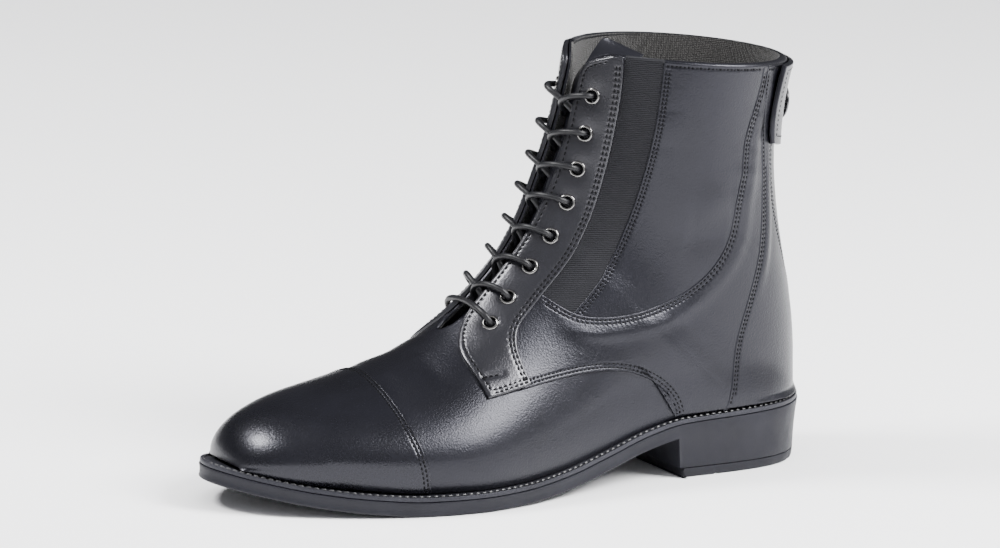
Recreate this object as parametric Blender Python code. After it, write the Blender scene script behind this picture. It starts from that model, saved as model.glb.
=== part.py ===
# Paddock boot, left foot: a hollow lasted leather upper with its overlays on a moulded sole.
# Metres, +Z up. The toe points to -X, the outer side of the foot faces -Y and z = 0 is the
# floor. The origin lies under the middle of the sole's length and of its width. The functions
# work from the line that joins the toe's tip and the heel's back, and add_object moves each
# piece from that line to the middle of the width.
import math

import bmesh
import bpy
import numpy as np
from mathutils import Vector

# Driving sizes of the last and the sole
LENGTH = 0.290            # sole, toe tip to heel back
BALL_WIDTH = 0.104        # sole, across the ball
INSTEP_HEIGHT = 0.1215    # floor to the front of the ankle bend
COLLAR_HEIGHT = 0.1855    # floor to the top, at the front
COLLAR_BACK = 0.1785      # floor to the top, at the back
COLLAR_WIDTH = 0.086      # across the open top
TOE_SPRING = 0.0113       # the toe tip's rise off the floor
HEEL_RISE = 0.0192        # floor to the underside of the sole over the heel
SOLE_THICKNESS = 0.0083   # side wall of the sole, with its welt

# Driving sizes of the pieces
WALL = 0.0018             # leather and lining of the upper
CLEARANCE = 0.0003        # between pieces that rest on each other
SKIN_CLEARANCE = 0.0005   # between curved overlays and the upper
SEAT_CLEARANCE = 0.0006   # between the upper's lower edge and the welt
SKIN_DEPTH = 0.0016       # the wall's outer face inside the last, where overlays come flush
SEAM_GAP = 0.0009         # between the edges of neighbouring overlays
TOE_FEATHER = 0.0055      # width of welt that shows round the toe
HEEL_FEATHER = 0.0035     # width of welt that shows round the heel
WAIST = (0.45, 0.75)      # shares of LENGTH between which the one runs over into the other
FEATHER_ENDS = 2.2        # how fast that width grows from the toe's tip and the heel's back
WELT_THICKNESS = 0.0018
WELT_DEPTH = 0.0100       # how far the welt reaches in from the sole's edge
WELT_INSET = 0.0004       # the welt's edge behind the sole's edge
SOLE_CHAMFER = 0.0012
LIFT_THICKNESS = 0.0042   # top lift under the heel
HEEL_TAPER = 0.0016       # how far the heel draws in down to the floor
BREAST_AT = 0.728         # the heel's front face, as a share of LENGTH
BREAST_SLOPE = 0.0018     # how far that face leans back
INSOLE_THICKNESS = 0.0026
INSOLE_CLEARANCE = 0.0032 # between the insole's edge and the wall
CAP_THICKNESS = 0.0011
FACING_THICKNESS = 0.0014
GORE_THICKNESS = 0.0006
SHAFT_THICKNESS = 0.0010
QUARTER_THICKNESS = 0.0013
COUNTER_THICKNESS = 0.0014
ZIP_THICKNESS = 0.0012
TONGUE_THICKNESS = 0.0020
TONGUE_CLEARANCE = 0.0018
TONGUE_HALF_WIDTH = 0.0300
TONGUE_FOOT_WIDTH = 0.55  # its width at the lower end, as a share of the full width
TONGUE_GROWTH = 0.25      # and how much of the full width each section adds
THROAT_HALF_GAP = 0.0055
TAB_THICKNESS = 0.0021
SNAP_DIAMETER = 0.0150
SNAP_THICKNESS = 0.0024
SNAP_SEAT = 0.0009        # the flat snap's middle over the curved tab
EYELET_DIAMETER = 0.0072
EYELET_HOLE = 0.0048
EYELET_THICKNESS = 0.0009
LACE_DIAMETER = 0.0027
LACE_SEAT = 0.0001        # the lace's facets over the eyelets' rims

# How finely the faceted solids are divided
SHARP_ANGLE = math.radians(35)
SOLE_ROWS = 22
UPPER_COLUMNS = 9
LACE_SIDES = 6
EYELET_SIDES = 10
SNAP_SIDES = 16
COLUMN_GATHER = 0.035     # how far the upper's columns gather towards the feather

# The sole's outline. along: share of LENGTH from the toe. outer and inner: shares of half
# the ball width.
OUTLINE = (
    # along, outer, inner
    (0.000, 0.000, 0.000),
    (0.015, 0.240, 0.240),
    (0.050, 0.460, 0.450),
    (0.110, 0.680, 0.630),
    (0.190, 0.880, 0.790),
    (0.280, 1.020, 0.905),
    (0.360, 1.065, 0.935),
    (0.460, 0.985, 0.820),
    (0.560, 0.850, 0.660),
    (0.660, 0.745, 0.600),
    (0.760, 0.715, 0.645),
    (0.860, 0.690, 0.670),
    (0.940, 0.560, 0.550),
    (0.985, 0.290, 0.290),
    (1.000, 0.000, 0.000),
)
# The sole's underside without its heel. spring: share of TOE_SPRING. rise: share of HEEL_RISE.
UNDERSIDE = (
    # along, spring, rise
    (0.00, 1.00, 0.00),
    (0.05, 0.72, 0.00),
    (0.12, 0.38, 0.00),
    (0.20, 0.13, 0.00),
    (0.28, 0.00, 0.00),
    (0.36, 0.00, 0.00),
    (0.44, 0.00, 0.03),
    (0.52, 0.00, 0.16),
    (0.60, 0.00, 0.43),
    (0.68, 0.00, 0.77),
    (0.74, 0.00, 0.94),
    (0.85, 0.00, 1.00),
    (1.00, 0.00, 1.06),
)
# The last's sections, from the toe tip over the instep to the collar. They fan round the
# instep: each runs from a point on the front (the ridge) to one on the sole or the back.
# front, back: shares of LENGTH from the toe. climb: 0 floor, 1 instep, 2 collar, at the front.
# back_climb: 0 on the sole, 1 at the collar's back. bulge: share of BALL_WIDTH past the feather.
# outer, inner: greatest half width of the shaft, shares of half the collar width.
# widest: share of the way from front to back at which the section is widest.
# round: 2 an ellipse, less is more pointed. fall: 1 a round turn-under, less a steeper side.
# lean: the ridge's shift to the inner side, share of BALL_WIDTH.
SECTIONS = (
    # front, climb, back, back_climb, bulge, outer, inner, widest, round, fall, lean
    (0.0276, 0.156, 0.0379, 0.000, 0.000, 0.000, 0.000, 0.80, 1.95, 1.00, 0.005),
    (0.0345, 0.218, 0.0724, 0.000, 0.010, 0.000, 0.000, 0.74, 1.90, 1.00, 0.008),
    (0.0638, 0.296, 0.1310, 0.000, 0.019, 0.000, 0.000, 0.70, 1.85, 1.00, 0.014),
    (0.1310, 0.362, 0.2069, 0.000, 0.025, 0.000, 0.000, 0.68, 1.82, 1.00, 0.021),
    (0.2241, 0.408, 0.2897, 0.000, 0.029, 0.000, 0.000, 0.68, 1.80, 1.00, 0.024),
    (0.3103, 0.472, 0.3724, 0.000, 0.029, 0.000, 0.000, 0.70, 1.78, 1.00, 0.021),
    (0.3897, 0.572, 0.4586, 0.000, 0.029, 0.000, 0.000, 0.72, 1.75, 1.00, 0.014),
    (0.4483, 0.700, 0.5621, 0.000, 0.029, 0.000, 0.000, 0.74, 1.75, 1.00, 0.010),
    (0.4897, 0.819, 0.6828, 0.000, 0.031, 0.000, 0.000, 0.71, 1.78, 0.90, 0.005),
    (0.5155, 0.922, 0.8069, 0.000, 0.036, 0.000, 0.000, 0.66, 1.80, 0.72, 0.000),
    (0.5293, 1.000, 0.9172, 0.000, 0.040, 0.812, 0.800, 0.58, 1.84, 0.56, 0.000),
    (0.5397, 1.133, 1.0000, 0.000, 0.000, 0.805, 0.793, 0.53, 1.86, 0.46, 0.000),
    (0.5517, 1.273, 0.9883, 0.143, 0.000, 0.830, 0.820, 0.53, 1.84, 0.46, 0.000),
    (0.5672, 1.461, 0.9590, 0.397, 0.000, 0.888, 0.880, 0.53, 1.80, 0.47, 0.000),
    (0.5810, 1.672, 0.9345, 0.637, 0.000, 0.932, 0.930, 0.53, 1.80, 0.48, 0.000),
    (0.5914, 1.859, 0.9328, 0.843, 0.000, 0.970, 0.970, 0.52, 1.80, 0.50, 0.000),
    (0.5983, 2.000, 0.9466, 1.000, 0.000, 1.000, 1.000, 0.52, 1.80, 0.50, 0.000),
)
HEEL_SECTION = 11         # the first section that closes behind the heel
LAST_SECTION = len(SECTIONS) - 1
STEEPEST_FALL = 0.42
HEEL_WIDTH_AT = 0.93      # share of LENGTH past which the heel's sections keep their width

# Seams on the upper. section: place among SECTIONS. round: 0 on the ridge, 1 on the feather
# or the middle of the back, by length along the section.
CAP_SEAM = 4.42           # section of the toe cap's seam on the ridge
CAP_SEAM_SIDE = 3.95      # and at the feather
CAP_SEAM_BEND = 1.3       # 1 a straight seam, more lies flatter over the ridge
CAP_START = 0.10          # section at which the cap starts at the toe's tip
CAP_GATHER = 1.35         # 1 even rows, more gathers them towards the toe's tip
CAP_EDGE = 0.992          # round: the cap's lower edge
THROAT_START = 5.90       # section at which the throat opens
THROAT_EDGE = (
    # section, share of THROAT_HALF_GAP
    (5.90, 0.30),
    (6.10, 0.80),
    (6.40, 1.00),
    (14.60, 1.00),
    (15.20, 1.22),
    (15.60, 1.75),
    (15.85, 2.45),
    (16.00, 3.20),
)
FACING_FRONT = (
    # section, round
    (5.70, 0.541),
    (5.74, 0.400),
    (5.78, 0.270),
    (5.98, 0.160),
    (6.40, 0.086),
    (7.20, 0.062),
    (8.40, 0.054),
    (10.00, 0.048),
    (12.00, 0.046),
    (13.60, 0.047),
    (14.70, 0.049),
    (15.45, 0.068),
    (15.97, 0.140),
)
FACING_REAR = (
    # section, round
    (6.55, 0.546),
    (6.57, 0.483),
    (6.62, 0.388),
    (6.81, 0.316),
    (7.15, 0.282),
    (7.80, 0.259),
    (8.68, 0.220),
    (9.93, 0.174),
    (11.78, 0.150),
    (12.80, 0.160),
    (13.66, 0.167),
    (15.00, 0.176),
    (15.97, 0.192),
)
GORE_FRONT = (
    # section, round
    (7.80, 0.262),
    (8.68, 0.224),
    (9.93, 0.178),
    (11.78, 0.154),
    (12.80, 0.164),
    (13.66, 0.171),
    (15.00, 0.180),
    (15.97, 0.196),
)
GORE_REAR = (
    # section, round
    (8.12, 0.420),
    (9.04, 0.346),
    (10.40, 0.288),
    (11.78, 0.272),
    (12.74, 0.280),
    (13.60, 0.302),
    (15.00, 0.308),
    (15.97, 0.303),
)
SHAFT_FRONT = (
    # section, round
    (8.20, 0.428),
    (8.60, 0.384),
    (9.20, 0.342),
    (10.20, 0.296),
    (11.30, 0.276),
    (12.40, 0.280),
    (13.60, 0.306),
    (15.00, 0.312),
    (15.97, 0.307),
)
SHAFT_REAR = (
    # section, round
    (8.26, 0.456),
    (8.80, 0.508),
    (9.70, 0.512),
    (10.80, 0.492),
    (11.80, 0.506),
    (12.60, 0.565),
    (13.60, 0.589),
    (15.00, 0.638),
    (15.97, 0.634),
)
QUARTER_TOP = (
    # section, round
    (6.60, 0.544),
    (6.62, 0.434),
    (6.86, 0.324),
    (7.22, 0.292),
    (7.72, 0.289),
    (8.02, 0.404),
    (8.40, 0.492),
    (9.00, 0.520),
    (9.90, 0.512),
    (10.80, 0.503),
    (11.50, 0.505),
    (12.10, 0.542),
    (12.60, 0.575),
    (13.40, 0.590),
    (14.20, 0.612),
    (15.20, 0.650),
    (15.97, 0.640),
)
QUARTER_BOTTOM = (
    # section, round
    (6.72, 0.571),
    (7.20, 0.590),
    (7.70, 0.629),
    (8.10, 0.686),
    (8.34, 0.762),
    (8.46, 0.862),
    (8.42, 0.985),
    (8.74, 0.992),
    (9.05, 0.992),
    (9.50, 0.880),
    (10.20, 0.752),
    (11.10, 0.647),
    (12.20, 0.650),
    (13.20, 0.704),
    (14.20, 0.712),
    (15.20, 0.682),
    (15.97, 0.672),
)
COUNTER_FRONT = (
    # section, round
    (9.05, 0.992),
    (9.50, 0.890),
    (10.20, 0.765),
    (11.10, 0.666),
    (12.20, 0.666),
    (13.20, 0.715),
    (14.20, 0.721),
    (15.20, 0.692),
    (15.97, 0.682),
)
COUNTER_REAR = (
    # section, round
    (11.03, 0.992),
    (11.20, 0.992),
    (11.50, 0.992),
    (11.90, 0.988),
    (12.50, 0.938),
    (13.10, 0.830),
    (14.20, 0.762),
    (15.20, 0.758),
    (15.97, 0.758),
)
ZIP_EDGE = (
    # section, round
    (12.15, 0.994),
    (12.55, 0.940),
    (12.85, 0.888),
    (13.15, 0.832),
    (13.70, 0.784),
    (14.40, 0.770),
    (15.20, 0.767),
    (15.97, 0.767),
)
BACKSTRAP = (11.35, 12.10)     # sections that the raised strip at the heel's back spans
BACKSTRAP_HALF_WIDTH = 0.0030
TAB_OUTER = 0.775              # round: the tab's free end, on the outer side
TAB_INNER = 0.640              # round: the tab's sewn end, on the inner side
TAB_SECTIONS = (14.25, 15.98)
TAB_CORNER = (0.45, 0.018)     # the free end's rounded lower corner: sections, round
SNAP_AT = (15.10, 0.955)       # section, round
EYELETS = (
    # section, round
    (14.29, 0.107),
    (13.20, 0.103),
    (12.12, 0.100),
    (10.70, 0.105),
    (9.10, 0.128),
    (8.05, 0.150),
    (7.20, 0.178),
    (6.58, 0.216),
)
# Half of a lace's crossing. down: share of the way to the next eyelet. across: 1 at its own
# eyelet, 0 over the ridge, below 0 on the far side. sink: share of LACE_DIAMETER.
LACE_ROUTE = (
    # down, across, sink
    (0.000, 1.00, 0.00),
    (0.225, 0.66, 0.00),
    (0.500, 0.00, 0.35),
    (0.620, -0.17, 0.80),
)
TONGUE_START = 5.45
TONGUE_TOP_RISE = 0.0030


def clear_scene():
    for thing in list(bpy.data.objects):
        bpy.data.objects.remove(thing, do_unlink=True)


def column(table, index):
    return np.array([entry[index] for entry in table], float)


def natural_spline(knots, values, places):
    """A smooth curve through every value."""
    knots = np.asarray(knots, float)
    values = np.asarray(values, float)
    places = np.asarray(places, float)
    count = len(knots)
    steps = np.diff(knots)
    system = np.eye(count)
    right = np.zeros(count)
    for i in range(1, count - 1):
        system[i, i - 1:i + 2] = steps[i - 1], 2 * (steps[i - 1] + steps[i]), steps[i]
        slopes = (values[i + 1] - values[i]) / steps[i], (values[i] - values[i - 1]) / steps[i - 1]
        right[i] = 6 * (slopes[0] - slopes[1])
    bend = np.linalg.solve(system, right)
    i = np.clip(np.searchsorted(knots, places) - 1, 0, count - 2)
    behind = places - knots[i]
    ahead = knots[i + 1] - places
    step = steps[i]
    curve = (bend[i] * ahead ** 3 + bend[i + 1] * behind ** 3) / (6 * step)
    curve = curve + (values[i] / step - bend[i] * step / 6) * ahead
    return curve + (values[i + 1] / step - bend[i + 1] * step / 6) * behind


def monotone_curve(knots, values, places):
    """A curve through every value that never overshoots them."""
    knots = np.asarray(knots, float)
    values = np.asarray(values, float)
    places = np.asarray(places, float)
    steps = np.diff(knots)
    slopes = np.diff(values) / steps
    tangents = np.zeros(len(knots))
    for i in range(1, len(knots) - 1):
        before, after = slopes[i - 1], slopes[i]
        if before * after > 0:
            first = 2 * steps[i] + steps[i - 1]
            second = steps[i] + 2 * steps[i - 1]
            tangents[i] = 3 * (steps[i - 1] + steps[i]) / (first / before + second / after)
    tangents[0] = slopes[0]
    tangents[-1] = slopes[-1]
    i = np.clip(np.searchsorted(knots, places) - 1, 0, len(knots) - 2)
    step = steps[i]
    u = (places - knots[i]) / step
    curve = (2 * u ** 3 - 3 * u ** 2 + 1) * values[i] + (u ** 3 - 2 * u ** 2 + u) * step * tangents[i]
    return curve + (-2 * u ** 3 + 3 * u ** 2) * values[i + 1] + (u ** 3 - u ** 2) * step * tangents[i + 1]


def half_width(along, side):
    """The sole's half width; the knots are angles, so that toe and heel come out round."""
    along = np.clip(along, 0, 1)
    knots = np.arccos(1 - 2 * column(OUTLINE, 0))
    widths = column(OUTLINE, 1 if side < 0 else 2)
    width = natural_spline(knots, widths, np.arccos(1 - 2 * along))
    return np.maximum(width, 0) * BALL_WIDTH / 2


def underside(along):
    knots = column(UNDERSIDE, 0)
    spring = monotone_curve(knots, column(UNDERSIDE, 1), along)
    rise = monotone_curve(knots, column(UNDERSIDE, 2), along)
    return TOE_SPRING * spring + HEEL_RISE * rise


def sole_top(along):
    return underside(along) + SOLE_THICKNESS


def feather(along, side):
    """Half width of the line where the upper meets the welt."""
    start = TOE_FEATHER / LENGTH
    end = 1 - HEEL_FEATHER / LENGTH
    share = np.clip((along - start) / (end - start), 0, 1)
    towards_heel = np.clip((along - WAIST[0]) / (WAIST[1] - WAIST[0]), 0, 1)
    inset = TOE_FEATHER + (HEEL_FEATHER - TOE_FEATHER) * towards_heel
    ends = np.clip(np.sin(np.pi * share) * FEATHER_ENDS, 0, 1)
    return np.maximum(half_width(share, side) - inset * ends, 0)


def section_numbers(place):
    """The sizes of the sections at these places, one array for each."""
    place = np.asarray(place, float)
    count = np.arange(LAST_SECTION + 1)
    foot = place <= HEEL_SECTION
    climb = column(SECTIONS, 1)
    front_z = INSTEP_HEIGHT * np.minimum(climb, 1)
    front_z = front_z + (COLLAR_HEIGHT - INSTEP_HEIGHT) * np.maximum(climb - 1, 0)
    heel_back = LENGTH - HEEL_FEATHER
    back_x = column(SECTIONS, 2) * LENGTH
    back_x[HEEL_SECTION] = heel_back
    seat = float(sole_top(heel_back / LENGTH)) + SEAT_CLEARANCE
    back_z = seat + (COLLAR_BACK - seat) * column(SECTIONS, 3)
    on_foot = slice(0, HEEL_SECTION + 1)
    on_shaft = slice(HEEL_SECTION, LAST_SECTION + 1)
    foot_x = natural_spline(count[on_foot], back_x[on_foot], np.minimum(place, HEEL_SECTION))
    shaft_x = natural_spline(count[on_shaft], back_x[on_shaft], np.maximum(place, HEEL_SECTION))
    shaft_z = natural_spline(count[on_shaft], back_z[on_shaft], np.maximum(place, HEEL_SECTION))
    numbers = {}
    numbers["front_x"] = natural_spline(count, column(SECTIONS, 0) * LENGTH, place)
    numbers["front_z"] = natural_spline(count, front_z, place)
    numbers["back_x"] = np.where(foot, np.minimum(foot_x, heel_back), shaft_x)
    along = numbers["back_x"] / LENGTH
    numbers["back_z"] = np.where(foot, sole_top(np.clip(along, 0, 1)) + SEAT_CLEARANCE, shaft_z)
    bulge = natural_spline(count, column(SECTIONS, 4), place) * BALL_WIDTH
    steady = HEEL_SECTION - 1
    on_ankle = slice(steady, LAST_SECTION + 1)
    blend = np.clip(place - (HEEL_SECTION - 2), 0, 1)
    blend = blend * blend * (3 - 2 * blend)
    for side, name, index in ((-1, "outer", 5), (1, "inner", 6)):
        foot_edge = np.where(foot, feather(along, side), 0)
        widths = column(SECTIONS, index)[on_ankle] * COLLAR_WIDTH / 2
        shaft = natural_spline(count[on_ankle], widths, np.maximum(place, steady))
        sole_edge = feather(np.minimum(along, HEEL_WIDTH_AT), side) + bulge
        widest = (1 - blend) * sole_edge + blend * shaft
        numbers["edge_" + name] = foot_edge
        numbers["wide_" + name] = np.maximum(widest, foot_edge)
    numbers["widest"] = natural_spline(count, column(SECTIONS, 7), place)
    numbers["round"] = natural_spline(count, column(SECTIONS, 8), place)
    fall = natural_spline(count, column(SECTIONS, 9), place)
    numbers["fall"] = np.clip(fall, STEEPEST_FALL, 1)
    numbers["lean"] = natural_spline(count, column(SECTIONS, 10), place) * BALL_WIDTH
    return numbers


def section_point(numbers, side, turn):
    """A point of a section; turn runs from 0 on the ridge to pi on the feather or back."""
    name = "outer" if side < 0 else "inner"
    wide = numbers["wide_" + name]
    edge = numbers["edge_" + name]
    widest = numbers["widest"]
    first = np.minimum(turn, np.pi / 2)
    second = np.maximum(turn - np.pi / 2, 0)
    power = 2 / numbers["round"]
    share_front = widest * (1 - np.maximum(np.cos(first), 0) ** power)
    half_front = wide * np.maximum(np.sin(first), 0) ** power
    share_back = widest + (1 - widest) * np.sin(second)
    drop = np.maximum(np.cos(second), 0) ** (2 * numbers["fall"])
    half_back = edge + (wide - edge) * drop
    is_front = turn <= np.pi / 2
    share = np.where(is_front, share_front, share_back)
    half = np.where(is_front, half_front, half_back)
    x = numbers["front_x"] + (numbers["back_x"] - numbers["front_x"]) * share
    z = numbers["front_z"] + (numbers["back_z"] - numbers["front_z"]) * share
    y = side * half + numbers["lean"] * (1 - share) ** 2
    return np.stack([x - LENGTH / 2, y, z], -1)


def last_surface(place, around, side):
    """Points of the last. around: 0 on the ridge, 1 on the feather or back, by length."""
    place, around = np.broadcast_arrays(np.asarray(place, float), np.asarray(around, float))
    shape = place.shape
    place = place.ravel()
    around = around.ravel()
    turns = np.linspace(0, np.pi, 121)
    stations, which = np.unique(np.round(place, 9), return_inverse=True)
    numbers = section_numbers(stations)
    wide = {key: value[:, None] for key, value in numbers.items()}
    points = section_point(wide, side, turns[None, :])
    pieces = np.linalg.norm(np.diff(points, axis=1), axis=2)
    lengths = np.concatenate([np.zeros((len(stations), 1)), np.cumsum(pieces, axis=1)], 1)
    turn = np.empty(len(place))
    for i in range(len(stations)):
        mine = which == i
        share = lengths[i] / lengths[i, -1]
        turn[mine] = np.interp(np.clip(around[mine], 0, 1), share, turns)
    mine = {key: value[which] for key, value in numbers.items()}
    return section_point(mine, side, turn).reshape(shape + (3,))


def half_girth(place, side):
    """Length of a section from the ridge to the feather or back."""
    numbers = {key: value[:, None] for key, value in section_numbers(place).items()}
    points = section_point(numbers, side, np.linspace(0, np.pi, 121)[None, :])
    return np.linalg.norm(np.diff(points, axis=1), axis=2).sum(1)


def wrapped_surface(place, around):
    """around: 0 to 1 on the outer side, 0 to -1 and 2 to 1 on the inner side."""
    place, around = np.broadcast_arrays(np.asarray(place, float), np.asarray(around, float))
    outer = (around >= 0) & (around <= 1)
    folded = np.where(around < 0, -around, np.where(around > 1, 2 - around, around))
    points = np.empty(place.shape + (3,))
    for side, mine in ((-1, outer), (1, ~outer)):
        if mine.any():
            points[mine] = last_surface(place[mine], folded[mine], side)
    return points


def last_normal(place, around):
    """Unit normals that point out of the boot."""
    step_place = 0.02
    step_around = 0.006
    place, around = np.broadcast_arrays(np.asarray(place, float), np.asarray(around, float))
    # Where the heel's feather and the middle of the back meet, the sections run into one
    # another, so the normal there is the one a few millimetres further up
    limit = np.interp(place, (HEEL_SECTION, HEEL_SECTION + 0.5), (0.96, 1.0))
    beyond = around > 1
    around = np.where(beyond, np.maximum(around, 2 - limit), np.clip(around, -limit, limit))
    low = np.clip(place - step_place, 0, LAST_SECTION)
    high = np.clip(place + step_place, 0, LAST_SECTION)
    along = wrapped_surface(high, around) - wrapped_surface(low, around)
    left = wrapped_surface(place, around - step_around)
    across = wrapped_surface(place, around + step_around) - left
    normal = np.cross(across, along)
    size = np.maximum(np.linalg.norm(normal, axis=-1, keepdims=True), 1e-12)
    return normal / size


def raised(place, around, height):
    """Points at a height over the upper's outer face, clear of the welt; below it if negative."""
    place, around = np.broadcast_arrays(np.asarray(place, float), np.asarray(around, float))
    normal = last_normal(place, around)
    # Along the welt the pieces stand straight up, so that none of them dips into it
    near_sides = np.clip((np.abs(around) - 0.95) / 0.04, 0, 1)
    near_sides = near_sides * np.clip((HEEL_SECTION + 0.4 - place) / 0.4, 0, 1)
    near_toe = np.clip((0.4 - place) / 0.3, 0, 1)
    normal[..., 2] *= 1 - np.maximum(near_sides, near_toe)
    normal /= np.linalg.norm(normal, axis=-1, keepdims=True)
    points = wrapped_surface(place, around) + normal * (height - SKIN_DEPTH)
    along = np.clip((points[..., 0] + LENGTH / 2) / LENGTH, 0, 1)
    points[..., 2] = np.maximum(points[..., 2], sole_top(along) + SKIN_CLEARANCE)
    return points


def material(name, colour, roughness, metallic=0.0):
    made = bpy.data.materials.new(name)
    made.use_nodes = True
    shader = made.node_tree.nodes["Principled BSDF"]
    shader.inputs["Base Color"].default_value = (*colour, 1.0)
    shader.inputs["Roughness"].default_value = roughness
    shader.inputs["Metallic"].default_value = metallic
    return made


def side_shift():
    """From the line of toe and heel to the middle of the sole's width."""
    shares = sole_shares()
    return (half_width(shares, -1).max() - half_width(shares, 1).max()) / 2


def add_object(name, vertices, faces, finish):
    """One closed piece with its faces turned outwards."""
    mesh = bpy.data.meshes.new(name)
    builder = bmesh.new()
    shift = Vector((0, side_shift(), 0))
    made = [builder.verts.new(Vector(vertex) + shift) for vertex in vertices]
    for face in faces:
        builder.faces.new([made[i] for i in face])
    loose = [vertex for vertex in builder.verts if not vertex.link_faces]
    bmesh.ops.delete(builder, geom=loose, context="VERTS")
    bmesh.ops.triangulate(builder, faces=builder.faces[:])
    bmesh.ops.recalc_face_normals(builder, faces=builder.faces[:])
    builder.to_mesh(mesh)
    builder.free()
    mesh.shade_smooth()
    mesh.set_sharp_from_angle(angle=SHARP_ANGLE)
    thing = bpy.data.objects.new(name, mesh)
    thing.data.materials.append(finish)
    bpy.context.scene.collection.objects.link(thing)
    return thing


def shell(outer, inner, quads):
    """Vertices and faces of a wall between two sheets that share their quads."""
    count = len(outer)
    faces = [tuple(quad) for quad in quads]
    faces += [tuple(count + i for i in reversed(quad)) for quad in quads]
    used = {}
    for quad in quads:
        for i in range(len(quad)):
            edge = (quad[i], quad[(i + 1) % len(quad)])
            key = tuple(sorted(edge))
            used.setdefault(key, []).append(edge)
    for edges in used.values():
        if len(edges) == 1:
            first, second = edges[0]
            faces.append((second, first, count + first, count + second))
    return list(outer) + list(inner), faces


def grid_quads(rows, columns):
    quads = []
    for i in range(rows - 1):
        for j in range(columns - 1):
            corner = i * columns + j
            quads.append((corner, corner + columns, corner + columns + 1, corner + 1))
    return quads


# Sole

def closed_ring(shares, width, inset):
    """A curve round the sole, drawn in by inset: the outer side, then back up the inner."""
    inset = np.broadcast_to(np.asarray(inset, float), shares.shape)
    outer = np.stack([shares * LENGTH - LENGTH / 2, -width(shares, -1)], 1)
    inner = np.stack([shares * LENGTH - LENGTH / 2, width(shares, 1)], 1)
    ring = np.concatenate([outer, inner[::-1]])
    depth = np.concatenate([inset, inset[::-1]])
    ahead = np.roll(ring, -1, axis=0)
    behind = np.roll(ring, 1, axis=0)
    # At a pointed end the two sides share one point, so the next ones give the direction
    same_ahead = np.linalg.norm(ahead - ring, axis=1) < 1e-9
    same_behind = np.linalg.norm(behind - ring, axis=1) < 1e-9
    ahead[same_ahead] = np.roll(ring, -2, axis=0)[same_ahead]
    behind[same_behind] = np.roll(ring, 2, axis=0)[same_behind]
    tangent = ahead - behind
    tangent /= np.linalg.norm(tangent, axis=1, keepdims=True)
    return ring + np.stack([-tangent[:, 1], tangent[:, 0]], 1) * depth[:, None]


def ring_points(shares, inset):
    return closed_ring(shares, half_width, inset)


def plate(name, shares, levels, finish):
    """A sole-shaped solid. levels: (inset, height) pairs from the top down, each a function
    of the place along the sole; its caps run straight across."""
    rings = []
    for inset, height in levels:
        ring = ring_points(shares, inset(shares))
        along = np.clip((ring[:, 0] + LENGTH / 2) / LENGTH, 0, 1)
        # The rows keep their own place for the height, so that a step stays a step
        own = np.concatenate([shares, shares[::-1]])
        rings.append(np.column_stack([ring, height(own, along)]))
    count = 2 * len(shares)
    vertices = np.concatenate(rings)
    faces = []
    for level in range(len(levels) - 1):
        for i in range(count):
            j = (i + 1) % count
            faces.append((level * count + i, level * count + j,
                          (level + 1) * count + j, (level + 1) * count + i))
    for base in (0, (len(levels) - 1) * count):
        for i in range(len(shares) - 1):
            faces.append((base + i, base + i + 1, base + count - 2 - i, base + count - 1 - i))
    return closed_plate(name, vertices, faces, finish)


def closed_plate(name, vertices, faces, finish):
    """Joins the doubled points at the pointed ends before the piece is made."""
    kept = {}
    index = []
    unique = []
    for vertex in vertices:
        key = tuple(np.round(vertex, 7))
        if key not in kept:
            kept[key] = len(unique)
            unique.append(vertex)
        index.append(kept[key])
    clean = []
    for face in faces:
        mapped = []
        for i in face:
            if index[i] not in mapped:
                mapped.append(index[i])
        if len(mapped) > 2:
            clean.append(tuple(mapped))
    return add_object(name, unique, clean, finish)


def round_shares(start, end, count):
    """Places along the sole, closer together at the round ends."""
    angles = np.linspace(math.acos(1 - 2 * start), math.acos(1 - 2 * end), count)
    return (1 - np.cos(angles)) / 2


def sole_shares():
    """The rows of the sole, with one on either side of the heel's front face."""
    front = round_shares(0, BREAST_AT, SOLE_ROWS)
    back = round_shares(BREAST_AT + BREAST_SLOPE / LENGTH, 1, SOLE_ROWS // 2)
    return np.concatenate([front, back])


def build_outsole(finish):
    shares = sole_shares()
    back_start = BREAST_AT + BREAST_SLOPE / LENGTH
    top_of_lift = LIFT_THICKNESS + CLEARANCE

    def floor_height(own):
        return np.where(own >= back_start - 1e-9, top_of_lift, underside(own))

    def taper(own):
        under_heel = HEEL_TAPER * (HEEL_RISE - top_of_lift) / HEEL_RISE
        return np.where(own >= back_start - 1e-9, under_heel, SOLE_CHAMFER)

    levels = (
        (lambda own: 0 * own, lambda own, along: sole_top(own) - WELT_THICKNESS - CLEARANCE),
        (lambda own: 0 * own, lambda own, along: underside(own) + SOLE_CHAMFER),
        (lambda own: taper(own), lambda own, along: floor_height(own)),
    )
    return plate("outsole", shares, levels, finish)


def build_top_lift(finish):
    start = BREAST_AT + BREAST_SLOPE / LENGTH
    shares = round_shares(start, 1, SOLE_ROWS // 2)
    upper_taper = HEEL_TAPER * (HEEL_RISE - LIFT_THICKNESS) / HEEL_RISE
    levels = (
        (lambda own: 0 * own + upper_taper, lambda own, along: 0 * own + LIFT_THICKNESS),
        (lambda own: 0 * own + HEEL_TAPER, lambda own, along: 0 * own),
    )
    return plate("heel_top_lift", shares, levels, finish)


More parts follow.
